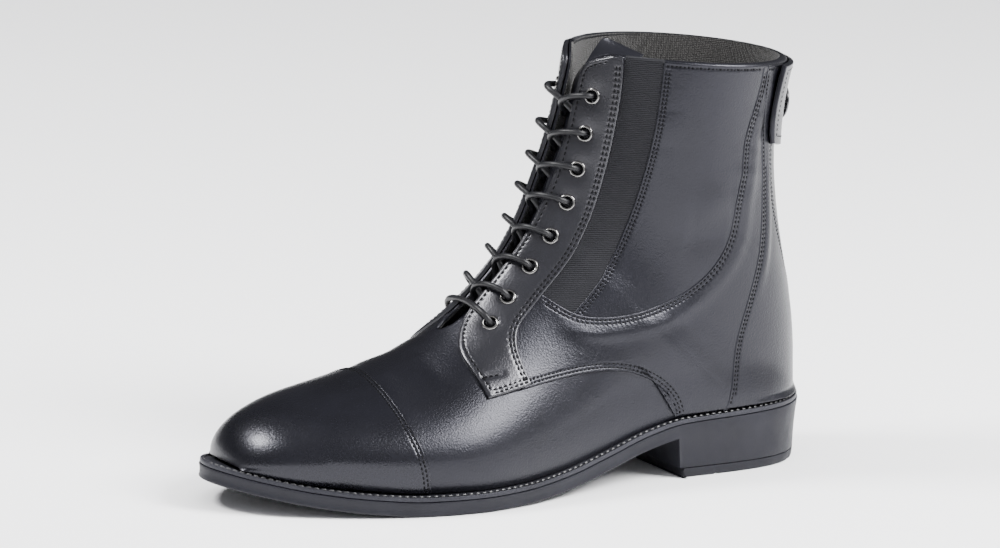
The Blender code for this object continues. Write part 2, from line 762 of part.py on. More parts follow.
def build_welt(finish):
    shares = sole_shares()
    outer = ring_points(shares, WELT_INSET + 0 * shares)
    inner = ring_points(shares, WELT_DEPTH + 0 * shares)
    own = np.concatenate([shares, shares[::-1]])
    top = np.column_stack([outer, sole_top(own)])
    low = np.column_stack([outer, sole_top(own) - WELT_THICKNESS])
    inner_along = (inner[:, 0] + LENGTH / 2) / LENGTH
    inner_top = np.column_stack([inner, sole_top(inner_along)])
    inner_low = np.column_stack([inner, sole_top(inner_along) - WELT_THICKNESS])
    count = len(own)
    vertices = np.concatenate([top, inner_top, inner_low, low])
    faces = []
    for band in range(4):
        for i in range(count):
            j = (i + 1) % count
            following = (band + 1) % 4
            faces.append((band * count + i, band * count + j,
                          following * count + j, following * count + i))
    return closed_plate("welt", vertices, faces, finish)


def build_insole(finish):
    start = TOE_FEATHER / LENGTH
    end = 1 - HEEL_FEATHER / LENGTH
    shares = start + (end - start) * round_shares(0, 1, SOLE_ROWS)
    ring = closed_ring(shares, feather, SKIN_DEPTH + WALL + INSOLE_CLEARANCE)
    top = sole_top((ring[:, 0] + LENGTH / 2) / LENGTH)
    low = np.column_stack([ring, top + SKIN_CLEARANCE])
    high = np.column_stack([ring, top + SKIN_CLEARANCE + INSOLE_THICKNESS])
    count = 2 * len(shares)
    faces = []
    for i in range(count):
        j = (i + 1) % count
        faces.append((i, j, count + j, count + i))
    for base in (0, count):
        for i in range(len(shares) - 1):
            faces.append((base + i, base + i + 1, base + count - 2 - i, base + count - 1 - i))
    return closed_plate("insole", np.concatenate([low, high]), faces, finish)


# Upper

def upper_stations():
    """Places of the upper's rows: close at the toe's tip, the throat's start and the heel."""
    spans = ((0.0, 0.5, 2), (0.5, 2.0, 3), (2.0, 5.0, 4), (5.0, THROAT_START, 1),
             (THROAT_START, 6.4, 2), (6.4, 10.0, 6), (10.0, HEEL_SECTION, 4),
             (HEEL_SECTION, 14.6, 5), (14.6, 16.0, 3))
    stations = [0.0]
    for start, end, count in spans:
        stations += [start + (end - start) * (i + 1) / count for i in range(count)]
    return np.array(stations)


def throat_edge(stations, side):
    """Where the upper's wall starts: 0 below the throat, the half gap above it."""
    gap = np.interp(stations, column(THROAT_EDGE, 0), column(THROAT_EDGE, 1)) * THROAT_HALF_GAP
    around = gap / half_girth(stations, side)
    return np.where(stations < THROAT_START - 1e-6, 0, around)


def build_upper(finish):
    stations = upper_stations()
    rows = len(stations)
    columns = UPPER_COLUMNS + 1
    outer = []
    inner = []
    quads = []
    index = {}
    for side in (-1, 1):
        start = throat_edge(stations, side)
        spread = np.linspace(0, 1, columns)
        # Columns gather towards the feather, where the last turns most sharply
        spread = spread + COLUMN_GATHER * np.sin(2 * np.pi * spread)
        around = start[:, None] + (1 - start[:, None]) * spread[None, :]
        place = np.repeat(stations[:, None], columns, axis=1)
        signed = around if side < 0 else -around
        points = raised(place, signed, 0.0)
        inside = raised(place, signed, -WALL)
        closed = place >= HEEL_SECTION - 1e-9
        for i in range(rows):
            for j in range(columns):
                joined_front = j == 0 and stations[i] < THROAT_START - 1e-6
                joined_back = j == columns - 1 and closed[i, j]
                if side > 0 and (joined_front or joined_back):
                    index[side, i, j] = index[-side, i, j]
                    continue
                index[side, i, j] = len(outer)
                outer.append(points[i, j])
                inner.append(inside[i, j])
        for i in range(rows - 1):
            for j in range(columns - 1):
                quad = [index[side, i, j], index[side, i + 1, j],
                        index[side, i + 1, j + 1], index[side, i, j + 1]]
                quads.append(tuple(quad if side < 0 else quad[::-1]))
    vertices, faces = shell(outer, inner, quads)
    return add_object("upper", vertices, faces, finish)


def seam(table, count):
    """A smooth seam through its rows, as places and shares."""
    knots = np.arange(len(table))
    at = np.linspace(0, len(table) - 1, count)
    return natural_spline(knots, column(table, 0), at), natural_spline(knots, column(table, 1), at)


def build_panel(name, first, second, side, counts, thickness, finish):
    """An overlay between two seams, drawn in by half a seam gap at its sides and ends."""
    rows, columns = counts
    first_place, first_around = seam(first, rows)
    second_place, second_around = seam(second, rows)
    share = np.linspace(0, 1, columns)
    place = first_place[:, None] + (second_place - first_place)[:, None] * share
    around = first_around[:, None] + (second_around - first_around)[:, None] * share
    signed = around if side < 0 else -around
    points = wrapped_surface(place, signed)
    across = np.linalg.norm(np.diff(points, axis=1), axis=2).sum(1)
    along = np.linalg.norm(np.diff(points, axis=0), axis=2).mean(1).sum()
    margin = np.minimum(SEAM_GAP / 2 / across, 0.3)
    trimmed = margin[:, None] + (1 - 2 * margin[:, None]) * share
    place = first_place[:, None] + (second_place - first_place)[:, None] * trimmed
    around = first_around[:, None] + (second_around - first_around)[:, None] * trimmed
    # The ends are drawn in along the panel's length
    trim = SEAM_GAP / 2 / along * (rows - 1)
    for end, neighbour in ((0, 1), (-1, -2)):
        place[end] += (place[neighbour] - place[end]) * trim
        around[end] += (around[neighbour] - around[end]) * trim
    signed = around if side < 0 else -around
    outer = raised(place, signed, SKIN_CLEARANCE + thickness).reshape(-1, 3)
    inner = raised(place, signed, SKIN_CLEARANCE).reshape(-1, 3)
    vertices, faces = shell(outer, inner, grid_quads(rows, columns))
    return add_object(name, vertices, faces, finish)


def build_toe_cap(finish):
    """The cap covers the last from the toe's tip to its seam, both sides in one."""
    rows = 9
    columns = 17
    around = np.linspace(-CAP_EDGE, CAP_EDGE, columns)
    seam_place = CAP_SEAM + (CAP_SEAM_SIDE - CAP_SEAM) * np.abs(around) ** CAP_SEAM_BEND
    share = np.linspace(0, 1, rows) ** CAP_GATHER
    place = CAP_START + (seam_place[None, :] - CAP_START) * share[:, None]
    signed = np.repeat(around[None, :], rows, axis=0)
    outer = raised(place, signed, SKIN_CLEARANCE + CAP_THICKNESS).reshape(-1, 3)
    inner = raised(place, signed, SKIN_CLEARANCE).reshape(-1, 3)
    vertices, faces = shell(outer, inner, grid_quads(rows, columns))
    return add_object("toe_cap", vertices, faces, finish)


def build_band(name, places, arounds, height, thickness, finish):
    """A strip of even thickness that may cross the middle of the back."""
    place = np.repeat(places[:, None], arounds.shape[1], axis=1)
    outer = raised(place, arounds, height + thickness).reshape(-1, 3)
    inner = raised(place, arounds, height).reshape(-1, 3)
    vertices, faces = shell(outer, inner, grid_quads(*arounds.shape))
    return add_object(name, vertices, faces, finish)


def build_zip_strip(finish):
    place, edge = seam(ZIP_EDGE, 9)
    spread = np.linspace(-1, 1, 7)
    arounds = 1 + spread[None, :] * (1 - edge[:, None])
    return build_band("zip_strip", place, arounds, SKIN_CLEARANCE, ZIP_THICKNESS, finish)


def build_backstrap(finish):
    place = np.linspace(*BACKSTRAP, 6)
    half = BACKSTRAP_HALF_WIDTH / half_girth(place, -1)
    arounds = 1 + np.linspace(-1, 1, 3)[None, :] * half[:, None]
    height = 2 * SKIN_CLEARANCE + COUNTER_THICKNESS
    return build_band("backstrap", place, arounds, height, QUARTER_THICKNESS, finish)


def tab_height():
    return 2 * SKIN_CLEARANCE + max(COUNTER_THICKNESS, ZIP_THICKNESS)


def build_tab(finish):
    place = np.linspace(*TAB_SECTIONS, 4)
    arounds = np.linspace(TAB_OUTER, 2 - TAB_INNER, 12)
    arounds = np.repeat(arounds[None, :], len(place), axis=0)
    # The free end's lower corner is rounded off
    corner = np.clip(1 - (place - place[0]) / TAB_CORNER[0], 0, 1) ** 2 * TAB_CORNER[1]
    arounds[:, 0] += corner
    return build_band("back_tab", place, arounds, tab_height(), TAB_THICKNESS, finish)


def frame_at(place, around, height):
    """A point over the upper and three directions: across, up the boot and outwards."""
    place = np.array([place], float)
    around = np.array([around], float)
    out = Vector(last_normal(place, around)[0]).normalized()
    point = Vector(raised(place, around, height)[0])
    up = Vector(wrapped_surface(place + 0.05, around)[0] - wrapped_surface(place - 0.05, around)[0])
    up = (up - out * up.dot(out)).normalized()
    return point, up.cross(out).normalized(), up, out


def build_turned(name, frame, profile, sides, finish, is_ring):
    """A turned ring, or a button with flat ends: profile rows are (radius, height)."""
    point, across, up, out = frame
    vertices = []
    for i in range(sides):
        angle = 2 * math.pi * i / sides
        direction = across * math.cos(angle) + up * math.sin(angle)
        vertices += [point + direction * radius + out * height for radius, height in profile]
    count = len(profile)
    bands = count if is_ring else count - 1
    faces = []
    for i in range(sides):
        j = (i + 1) % sides
        for k in range(bands):
            following = (k + 1) % count
            faces.append((i * count + k, j * count + k, j * count + following, i * count + following))
    if not is_ring:
        faces.append([i * count for i in range(sides)])
        faces.append([i * count + count - 1 for i in range(sides)])
    return add_object(name, vertices, faces, finish)


def eyelet_height():
    return 2 * SKIN_CLEARANCE + CLEARANCE + FACING_THICKNESS


def build_eyelets(finish):
    outer = EYELET_DIAMETER / 2
    hole = EYELET_HOLE / 2
    middle = (outer + hole) / 2
    profile = ((hole, 0.0), (outer, 0.0), (middle, EYELET_THICKNESS), (hole, EYELET_THICKNESS / 2))
    for label, sign in (("outer", 1), ("inner", -1)):
        for number, (place, around) in enumerate(EYELETS, 1):
            frame = frame_at(place, sign * around, eyelet_height())
            name = f"eyelet_{label}_{number}"
            build_turned(name, frame, profile, EYELET_SIDES, finish, True)


def build_snap(finish):
    height = tab_height() + TAB_THICKNESS + SNAP_SEAT
    frame = frame_at(SNAP_AT[0], SNAP_AT[1], height)
    radius = SNAP_DIAMETER / 2
    profile = ((radius * 0.85, 0.0), (radius, SNAP_THICKNESS * 0.4),
               (radius * 0.85, SNAP_THICKNESS * 0.85), (radius * 0.5, SNAP_THICKNESS))
    return build_turned("snap", frame, profile, SNAP_SIDES, finish, False)


def build_tongue(finish):
    """A flap behind the throat, from under the vamp to just over the collar's front."""
    rows = 14
    columns = 7
    place = np.linspace(TONGUE_START, LAST_SECTION, rows)
    girth = half_girth(place, -1)
    width = TONGUE_FOOT_WIDTH + (place - TONGUE_START) * TONGUE_GROWTH
    half = TONGUE_HALF_WIDTH * np.clip(width, 0, 1)
    spread = np.linspace(-1, 1, columns)
    arounds = spread[None, :] * (half / girth)[:, None]
    places = np.repeat(place[:, None], columns, axis=1)
    depth = WALL + TONGUE_CLEARANCE
    outer = raised(places, arounds, -depth)
    inner = raised(places, arounds, -depth - TONGUE_THICKNESS)
    rise = TONGUE_TOP_RISE * (1 - spread ** 2)
    outer[-1, :, 2] += rise
    inner[-1, :, 2] += rise
    vertices, faces = shell(outer.reshape(-1, 3), inner.reshape(-1, 3), grid_quads(rows, columns))
    return add_object("tongue", vertices, faces, finish)


# Laces

def tube(name, points, radius, sides, finish):
    """A round bar through points, with flat ends."""
    points = [Vector(point) for point in points]
    vertices = []
    reference = Vector((0, 0, 1))
    for i, point in enumerate(points):
        ahead = points[min(i + 1, len(points) - 1)]
        behind = points[max(i - 1, 0)]
        tangent = (ahead - behind).normalized()
        first = (reference - tangent * reference.dot(tangent)).normalized()
        second = tangent.cross(first)
        for k in range(sides):
            angle = 2 * math.pi * k / sides
            vertices.append(point + (first * math.cos(angle) + second * math.sin(angle)) * radius)
    faces = []
    for i in range(len(points) - 1):
        for k in range(sides):
            following = (k + 1) % sides
            faces.append((i * sides + k, i * sides + following,
                          (i + 1) * sides + following, (i + 1) * sides + k))
    faces.append(list(range(sides)))
    faces.append([(len(points) - 1) * sides + k for k in range(sides)])
    return add_object(name, vertices, faces, finish)


def smooth_route(points, count):
    points = np.array([tuple(point) for point in points], float)
    knots = np.arange(len(points))
    at = np.linspace(0, len(points) - 1, count)
    return np.stack([natural_spline(knots, points[:, k], at) for k in range(3)], 1)


def lace_over(place, around, extra=0.0):
    """Centre of a lace that lies on the facing or on an eyelet's rim."""
    height = eyelet_height() + EYELET_THICKNESS + LACE_SEAT + LACE_DIAMETER / 2 + extra
    return raised(np.array([place]), np.array([around]), height)[0]


def strand(start, end, sign):
    """Half of a crossing: from an eyelet over its facing and the throat, towards the next
    lower eyelet of the other side, where it stops short of the far facing."""
    place, around = start
    route = []
    for down, across, sink in LACE_ROUTE:
        at = place + (end[0] - place) * down
        route.append(lace_over(at, sign * around * across, -LACE_DIAMETER * sink))
    return route


def build_laces(finish):
    radius = LACE_DIAMETER / 2
    for number in range(len(EYELETS) - 1):
        start = EYELETS[number]
        end = EYELETS[number + 1]
        routes = [smooth_route(strand(start, end, sign), 7) for sign in (1, -1)]
        name = f"lace_crossing_{number + 1}"
        crossing = tube(name, routes[0], radius, LACE_SIDES, finish)
        partner = tube(name + "_other_half", routes[1], radius, LACE_SIDES, finish)
        partner.hide_render = True
        partner.display_type = "WIRE"
        join = crossing.modifiers.new("join", "BOOLEAN")
        join.operation = "UNION"
        join.object = partner
    place, around = EYELETS[-1]
    bar = [lace_over(place, around * share) for share in (1, 0.5, 0, -0.5, -1)]
    tube("lace_bar", smooth_route(bar, 9), radius, LACE_SIDES, finish)


def build_boot():
    clear_scene()
    leather = (0.022, 0.023, 0.028)
    rubber = material("sole_rubber", (0.045, 0.045, 0.050), 0.55)
    build_outsole(rubber)
    build_top_lift(material("lift_rubber", (0.035, 0.035, 0.040), 0.60))
    build_welt(material("welt_leather", (0.030, 0.030, 0.034), 0.60))
    build_insole(material("insole_cloth", (0.060, 0.055, 0.052), 0.90))
    build_upper(material("upper_leather", leather, 0.38))
    build_toe_cap(material("cap_leather", leather, 0.32))
    for label, side in (("outer", -1), ("inner", 1)):
        build_panel("facing_" + label, FACING_FRONT, FACING_REAR, side, (18, 5),
                    FACING_THICKNESS, material("facing_leather_" + label, leather, 0.36))
        build_panel("gore_" + label, GORE_FRONT, GORE_REAR, side, (12, 3),
                    GORE_THICKNESS, material("gore_elastic_" + label, (0.030, 0.030, 0.034), 0.85))
        build_panel("shaft_" + label, SHAFT_FRONT, SHAFT_REAR, side, (11, 6),
                    SHAFT_THICKNESS, material("shaft_leather_" + label, leather, 0.40))
        build_panel("quarter_" + label, QUARTER_TOP, QUARTER_BOTTOM, side, (20, 8),
                    QUARTER_THICKNESS, material("quarter_leather_" + label, leather, 0.38))
        build_panel("counter_" + label, COUNTER_FRONT, COUNTER_REAR, side, (14, 7),
                    COUNTER_THICKNESS, material("counter_leather_" + label, leather, 0.36))
    build_zip_strip(material("zip_tape", (0.018, 0.018, 0.020), 0.60))
    build_backstrap(material("backstrap_leather", leather, 0.38))
    build_tab(material("tab_leather", leather, 0.40))
    build_snap(material("snap_metal", (0.020, 0.020, 0.022), 0.35, 0.8))
    build_tongue(material("tongue_leather", leather, 0.42))
    build_eyelets(material("eyelet_metal", (0.22, 0.21, 0.20), 0.30, 1.0))
    build_laces(material("lace_cord", (0.020, 0.020, 0.022), 0.70))


build_boot()
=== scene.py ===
# Paddock boot, left foot: the looks. Every leather panel, seam, stitch, eyelet and lace is made
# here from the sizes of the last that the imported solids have, in metres, and laid over them.
import math

import bpy
import numpy as np
from mathutils import Matrix, Vector


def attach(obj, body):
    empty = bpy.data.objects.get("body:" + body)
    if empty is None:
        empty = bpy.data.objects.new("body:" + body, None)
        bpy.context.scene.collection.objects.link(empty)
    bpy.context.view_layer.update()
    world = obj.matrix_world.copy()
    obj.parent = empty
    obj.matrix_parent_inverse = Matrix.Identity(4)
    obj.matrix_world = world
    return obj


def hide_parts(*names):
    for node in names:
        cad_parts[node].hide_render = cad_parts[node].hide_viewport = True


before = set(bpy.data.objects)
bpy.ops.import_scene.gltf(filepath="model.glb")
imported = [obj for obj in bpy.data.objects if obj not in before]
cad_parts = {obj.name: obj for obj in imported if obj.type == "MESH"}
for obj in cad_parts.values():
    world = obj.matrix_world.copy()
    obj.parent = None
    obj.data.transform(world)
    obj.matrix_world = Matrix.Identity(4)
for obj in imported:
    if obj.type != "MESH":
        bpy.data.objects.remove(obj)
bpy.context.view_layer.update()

MM = 0.001

# The photograph's camera. The look point is in the frame's own metres; the roll is the
# photographer's.
PHOTO_WIDTH = 1000
CAMERA_AZIMUTH = math.radians(-30.543)
CAMERA_ELEVATION = math.radians(12.259)
CAMERA_ROLL = math.radians(2.091)
CAMERA_DISTANCE = 2.4675
CAMERA_TARGET = Vector((-0.0045, 0.0034, 0.0887))
FOCAL_PIXELS = 5767
SENSOR = 36.0
CAMERA_REACH = 50

# The room and its lights
WORLD_FRONT = 0.9
WORLD_BACK = 0.10
FLOOR_REACH = 12.0
LIT_POINT = Vector((0, 0, 0.09))
LIGHTS = (
    # name, azimuth and elevation in degrees, distance, size, radiance, seen in reflections
    ("key", 45, 42, 1.5, (0.62, 0.78), 43, True),
    ("toe_side", -113, 50, 1.5, (0.36, 0.36), 85, True),
    ("heel_side", 112, 4, 1.6, (0.22, 0.8), 1.2, True),
    ("overhead", 0, 88, 3.2, (4.5, 4.5), 3.2, False),
)

# Sizes of the last and the sole
LENGTH = 0.290
BALL_WIDTH = 0.104
INSTEP_HEIGHT = 0.1215
COLLAR_HEIGHT = 0.1855
COLLAR_BACK = 0.1785
COLLAR_WIDTH = 0.086
TOE_SPRING = 0.0113
HEEL_RISE = 0.0192
SOLE_THICKNESS = 0.0083
WALL = 0.0018
SKIN_CLEARANCE = 0.0005
SEAT_CLEARANCE = 0.0006
SKIN_DEPTH = 0.0016
TOE_FEATHER = 0.0055
HEEL_FEATHER = 0.0035
WAIST = (0.45, 0.75)
FEATHER_ENDS = 2.2
HEEL_WIDTH_AT = 0.93
HEEL_SECTION = 11
STEEPEST_FALL = 0.42

# The sole's outline. along: share of LENGTH from the toe. outer and inner: shares of half
# the ball width.
OUTLINE = (
    # along, outer, inner
    (0.000, 0.000, 0.000),
    (0.015, 0.240, 0.240),
    (0.050, 0.460, 0.450),
    (0.110, 0.680, 0.630),
    (0.190, 0.880, 0.790),
    (0.280, 1.020, 0.905),
    (0.360, 1.065, 0.935),
    (0.460, 0.985, 0.820),
    (0.560, 0.850, 0.660),
    (0.660, 0.745, 0.600),
    (0.760, 0.715, 0.645),
    (0.860, 0.690, 0.670),
    (0.940, 0.560, 0.550),
    (0.985, 0.290, 0.290),
    (1.000, 0.000, 0.000),
)
# The sole's underside without its heel. spring: share of TOE_SPRING. rise: share of HEEL_RISE.
UNDERSIDE = (
    # along, spring, rise
    (0.00, 1.00, 0.00),
    (0.05, 0.72, 0.00),
    (0.12, 0.38, 0.00),
    (0.20, 0.13, 0.00),
    (0.28, 0.00, 0.00),
    (0.36, 0.00, 0.00),
    (0.44, 0.00, 0.03),
    (0.52, 0.00, 0.16),
    (0.60, 0.00, 0.43),
    (0.68, 0.00, 0.77),
    (0.74, 0.00, 0.94),
    (0.85, 0.00, 1.00),
    (1.00, 0.00, 1.06),
)
# The last's sections, from the toe tip over the instep to the collar, as in the solids.
# front, back: shares of LENGTH from the toe. climb: 0 floor, 1 instep, 2 collar, at the front.
# back_climb: 0 on the sole, 1 at the collar's back. bulge: share of BALL_WIDTH past the feather.
# outer, inner: greatest half width of the shaft, shares of half the collar width.
# widest: share of the way from front to back at which the section is widest.
# round: 2 an ellipse, less is more pointed. fall: 1 a round turn-under, less a steeper side.
# lean: the ridge's shift to the inner side, share of BALL_WIDTH.
SECTIONS = (
    # front, climb, back, back_climb, bulge, outer, inner, widest, round, fall, lean
    (0.0276, 0.156, 0.0379, 0.000, 0.000, 0.000, 0.000, 0.80, 1.95, 1.00, 0.005),
    (0.0345, 0.218, 0.0724, 0.000, 0.010, 0.000, 0.000, 0.74, 1.90, 1.00, 0.008),
    (0.0638, 0.296, 0.1310, 0.000, 0.019, 0.000, 0.000, 0.70, 1.85, 1.00, 0.014),
    (0.1310, 0.362, 0.2069, 0.000, 0.025, 0.000, 0.000, 0.68, 1.82, 1.00, 0.021),
    (0.2241, 0.408, 0.2897, 0.000, 0.029, 0.000, 0.000, 0.68, 1.80, 1.00, 0.024),
    (0.3103, 0.472, 0.3724, 0.000, 0.029, 0.000, 0.000, 0.70, 1.78, 1.00, 0.021),
    (0.3897, 0.572, 0.4586, 0.000, 0.029, 0.000, 0.000, 0.72, 1.75, 1.00, 0.014),
    (0.4483, 0.700, 0.5621, 0.000, 0.029, 0.000, 0.000, 0.74, 1.75, 1.00, 0.010),
    (0.4897, 0.819, 0.6828, 0.000, 0.031, 0.000, 0.000, 0.71, 1.78, 0.90, 0.005),
    (0.5155, 0.922, 0.8069, 0.000, 0.036, 0.000, 0.000, 0.66, 1.80, 0.72, 0.000),
    (0.5293, 1.000, 0.9172, 0.000, 0.040, 0.812, 0.800, 0.58, 1.84, 0.56, 0.000),
    (0.5397, 1.133, 1.0000, 0.000, 0.000, 0.805, 0.793, 0.53, 1.86, 0.46, 0.000),
    (0.5517, 1.273, 0.9883, 0.143, 0.000, 0.830, 0.820, 0.53, 1.84, 0.46, 0.000),
    (0.5672, 1.461, 0.9590, 0.397, 0.000, 0.888, 0.880, 0.53, 1.80, 0.47, 0.000),
    (0.5810, 1.672, 0.9345, 0.637, 0.000, 0.932, 0.930, 0.53, 1.80, 0.48, 0.000),
    (0.5914, 1.859, 0.9328, 0.843, 0.000, 0.970, 0.970, 0.52, 1.80, 0.50, 0.000),
    (0.5983, 2.000, 0.9466, 1.000, 0.000, 1.000, 1.000, 0.52, 1.80, 0.50, 0.000),
)
LAST_SECTION = len(SECTIONS) - 1

# Seams on the upper. section: place among SECTIONS. round: 0 on the ridge, 1 on the feather
# or the middle of the back. under: how far the panel runs on under its neighbour, in mm; with
# 0 its edge is cut and shows.
CAP_SEAM = 4.42
CAP_SEAM_SIDE = 3.95
CAP_SEAM_BEND = 1.3
CAP_EDGE = 0.992
THROAT_START = 5.90
THROAT_HALF_GAP = 0.0055
THROAT_EDGE = (
    # section, share of THROAT_HALF_GAP
    (5.90, 0.30),
    (6.10, 0.80),
    (6.40, 1.00),
    (14.60, 1.00),
    (15.20, 1.22),
    (15.60, 1.75),
    (15.85, 2.45),
    (16.00, 3.20),
)
FACING_FRONT = (
    # section, round
    (5.70, 0.541),
    (5.74, 0.400),
    (5.78, 0.270),
    (5.98, 0.160),
    (6.40, 0.086),
    (7.20, 0.062),
    (8.40, 0.054),
    (10.00, 0.048),
    (12.00, 0.046),
    (13.60, 0.047),
    (14.70, 0.049),
    (15.45, 0.068),
    (15.97, 0.140),
)
# Seams on the sides as seen from the outer side: x from the toe tip, z from the floor, in mm
FACING_REAR = (
    (134.7, 49.2), (133.1, 56.0), (132.6, 62.5), (134.8, 69.2), (140.6, 75.6), (151.0, 85.6),
    (160.8, 96.4), (169.4, 109.6), (174.9, 124.0), (178.6, 139.5), (181.2, 155.5), (183.0, 170.0),
    (184.2, 187.5),
)
SHAFT_FRONT = (
    (157.0, 72.6), (161.9, 77.4), (173.6, 89.6), (182.3, 103.5), (188.2, 118.6), (191.9, 134.5),
    (194.5, 151.0), (196.1, 167.5), (197.4, 187.5),
)
QUARTER_TOP = (
    (145.0, 86.6), (149.6, 83.2), (154.8, 79.4), (161.0, 76.0), (170.0, 74.1), (183.0, 74.3),
    (197.0, 76.6), (209.6, 80.8), (220.5, 87.4), (228.6, 96.8), (232.9, 107.6), (233.9, 120.0),
    (236.0, 132.0), (236.6, 144.5), (239.0, 156.0), (243.0, 168.0), (244.2, 186.0),
)
SWOOSH = (
    (128.0, 47.6), (140.2, 49.2), (153.8, 50.7), (167.6, 51.5), (181.5, 50.4), (193.8, 46.3),
    (204.0, 39.3), (209.6, 31.0), (210.8, 26.0),
)
COUNTER_FRONT = (
    (234.8, 27.5), (237.8, 41.0), (239.8, 55.4), (243.2, 69.0), (246.6, 82.4), (249.3, 95.6),
    (250.2, 109.0), (249.9, 122.8), (249.0, 136.4), (247.3, 150.0), (247.2, 186.0),
)
# Seams over the ridge and the back. section: place among SECTIONS. round: 0 on the ridge, 1 on
# the feather or the middle of the back.
SWOOSH_FOOT = (
    # section, round
    (8.42, 0.985),
    (8.74, 0.993),
    (9.03, 0.993),
)
COUNTER_REAR = (
    # section, round
    (11.03, 0.992),
    (11.20, 0.996),
    (11.50, 0.998),
    (11.90, 0.992),
    (12.50, 0.938),
    (13.10, 0.830),
    (14.20, 0.762),
    (15.20, 0.758),
    (15.97, 0.758),
)
ZIP_EDGE = (
    # section, round
    (12.15, 0.994),
    (12.55, 0.940),
    (12.85, 0.888),
    (13.15, 0.832),
    (13.70, 0.784),
    (14.40, 0.770),
    (15.20, 0.767),
    (15.97, 0.767),
)
PANEL_TOP = 15.97
UNDERLAP = 0.0022
BACKSTRAP = (11.35, 12.10)
BACKSTRAP_HALF_WIDTH = 0.0030
TAB_OUTER = 0.718
TAB_INNER = 0.640
TAB_SECTIONS = (14.45, 15.98)
SNAP_AT = (15.10, 0.935)
SNAP_DIAMETER = 0.0150
SNAP_THICKNESS = 0.0024
EYELETS = (
    # section, round
    (14.29, 0.107),
    (13.20, 0.103),
    (12.12, 0.100),
    (10.70, 0.105),
    (9.10, 0.128),
    (8.05, 0.150),
    (7.20, 0.178),
    (6.58, 0.216),
)
EYELET_HOLE = 0.0048
LACE_DIAMETER = 0.0027

# The last's surface is worked out once on a close grid, and read from it smoothly
TABLE_STEP = 0.025
TABLE_ROUND = 0.00625
TABLE_PAD = 3

# Where the foot's sections give way to the shaft's the table is smoothed across them: spread and
# reach in sections, fully up to the first round and no more from the second, at the feather
TURN_SPREAD = 0.45
TURN_REACH = 2.0
TURN_FADE = (0.96, 1.0)

# The lasted edge stands nearly upright on the welt: it is filled out from this round down, and
# its skins are raised level there, and at the toe's tip, to stay clear of the welt
FOOT_FILL = 1.7 * MM
FOOT_FILL_FROM = 0.78
LEVEL_FROM = 0.95
LEVEL_OVER = 0.04

# Soft folds of the leather, each along a line between two places on the surface. height is
# below 0 for a trough. side: -1 outer, 1 inner.
FOLDS = (
    # side, section, round, to section, to round, width in mm, height in mm
    (-1, 12.95, 0.600, 12.85, 0.690, 2.2, -0.35),
    (-1, 12.70, 0.600, 12.62, 0.680, 2.0, -0.30),
    (-1, 12.82, 0.600, 12.74, 0.690, 1.8, 0.25),
    (-1, 13.30, 0.580, 12.80, 0.430, 9.0, 1.00),
    (-1, 12.70, 0.560, 12.15, 0.400, 9.0, -1.30),
    (-1, 14.60, 0.330, 13.60, 0.330, 8.0, 0.70),
    (-1, 13.80, 0.570, 13.90, 0.690, 3.0, 0.40),
    (-1, 14.40, 0.600, 14.30, 0.690, 3.0, -0.35),
    (-1, 14.90, 0.620, 14.80, 0.690, 2.5, 0.30),
    (-1, 5.30, 0.100, 5.15, 0.420, 5.0, -0.50),
    (-1, 4.75, 0.080, 4.70, 0.380, 5.0, 0.30),
    (-1, 9.40, 0.560, 8.30, 0.560, 4.5, -0.45),
    (-1, 9.60, 0.500, 8.50, 0.430, 5.0, -0.40),
    (1, 12.95, 0.600, 12.85, 0.690, 2.2, -0.35),
    (1, 12.60, 0.600, 12.52, 0.680, 2.2, -0.30),
    (1, 13.20, 0.530, 12.80, 0.430, 6.0, -0.50),
    (1, 14.30, 0.600, 14.20, 0.690, 3.0, -0.35),
    (1, 5.25, 0.100, 5.10, 0.420, 5.0, -0.45),
    (1, 4.75, 0.080, 4.70, 0.380, 5.0, 0.30),
    (1, 9.20, 0.560, 8.20, 0.560, 4.5, -0.40),
)

# Heights of the skins over the upper's outer face
BASE = SKIN_CLEARANCE
VAMP_RISE = 0.5 * MM
GORE_TOP = 1.00 * MM
CAP_TOP = 1.45 * MM
SHAFT_TOP = 1.45 * MM
QUARTER_TOP_HEIGHT = 1.80 * MM
FACING_TOP = 2.10 * MM
COUNTER_TOP = 2.10 * MM
STRIP_TOP = 1.70 * MM
TAB_BASE = 2 * SKIN_CLEARANCE + 1.4 * MM
BACKSTRAP_DEPTH = 1.3 * MM
TAB_DEPTH = 2.1 * MM
TAB_STAND = 1.1 * MM

# Where the vamp runs under the facing and the quarter
VAMP_END = (
    # round, section
    (0.00, 6.00),
    (0.16, 5.98),
    (0.27, 5.80),
    (0.40, 5.76),
    (0.54, 5.74),
    (0.57, 6.70),
    (0.59, 7.30),
    (0.63, 7.90),
    (0.69, 8.40),
    (0.76, 8.66),
    (0.86, 8.80),
    (1.00, 8.80),
)

# Grids of the skins: the first distances from each edge, and the steps further in
EDGE_STEPS = np.array((0, 0.12, 0.3, 0.55, 0.9, 1.3, 1.7, 2.1, 2.5, 2.9, 3.3, 3.8, 4.5)) * MM
SEAM_SAMPLES = 700
ROW_STEP = 0.62 * MM
COLUMN_STEP = 1.3 * MM

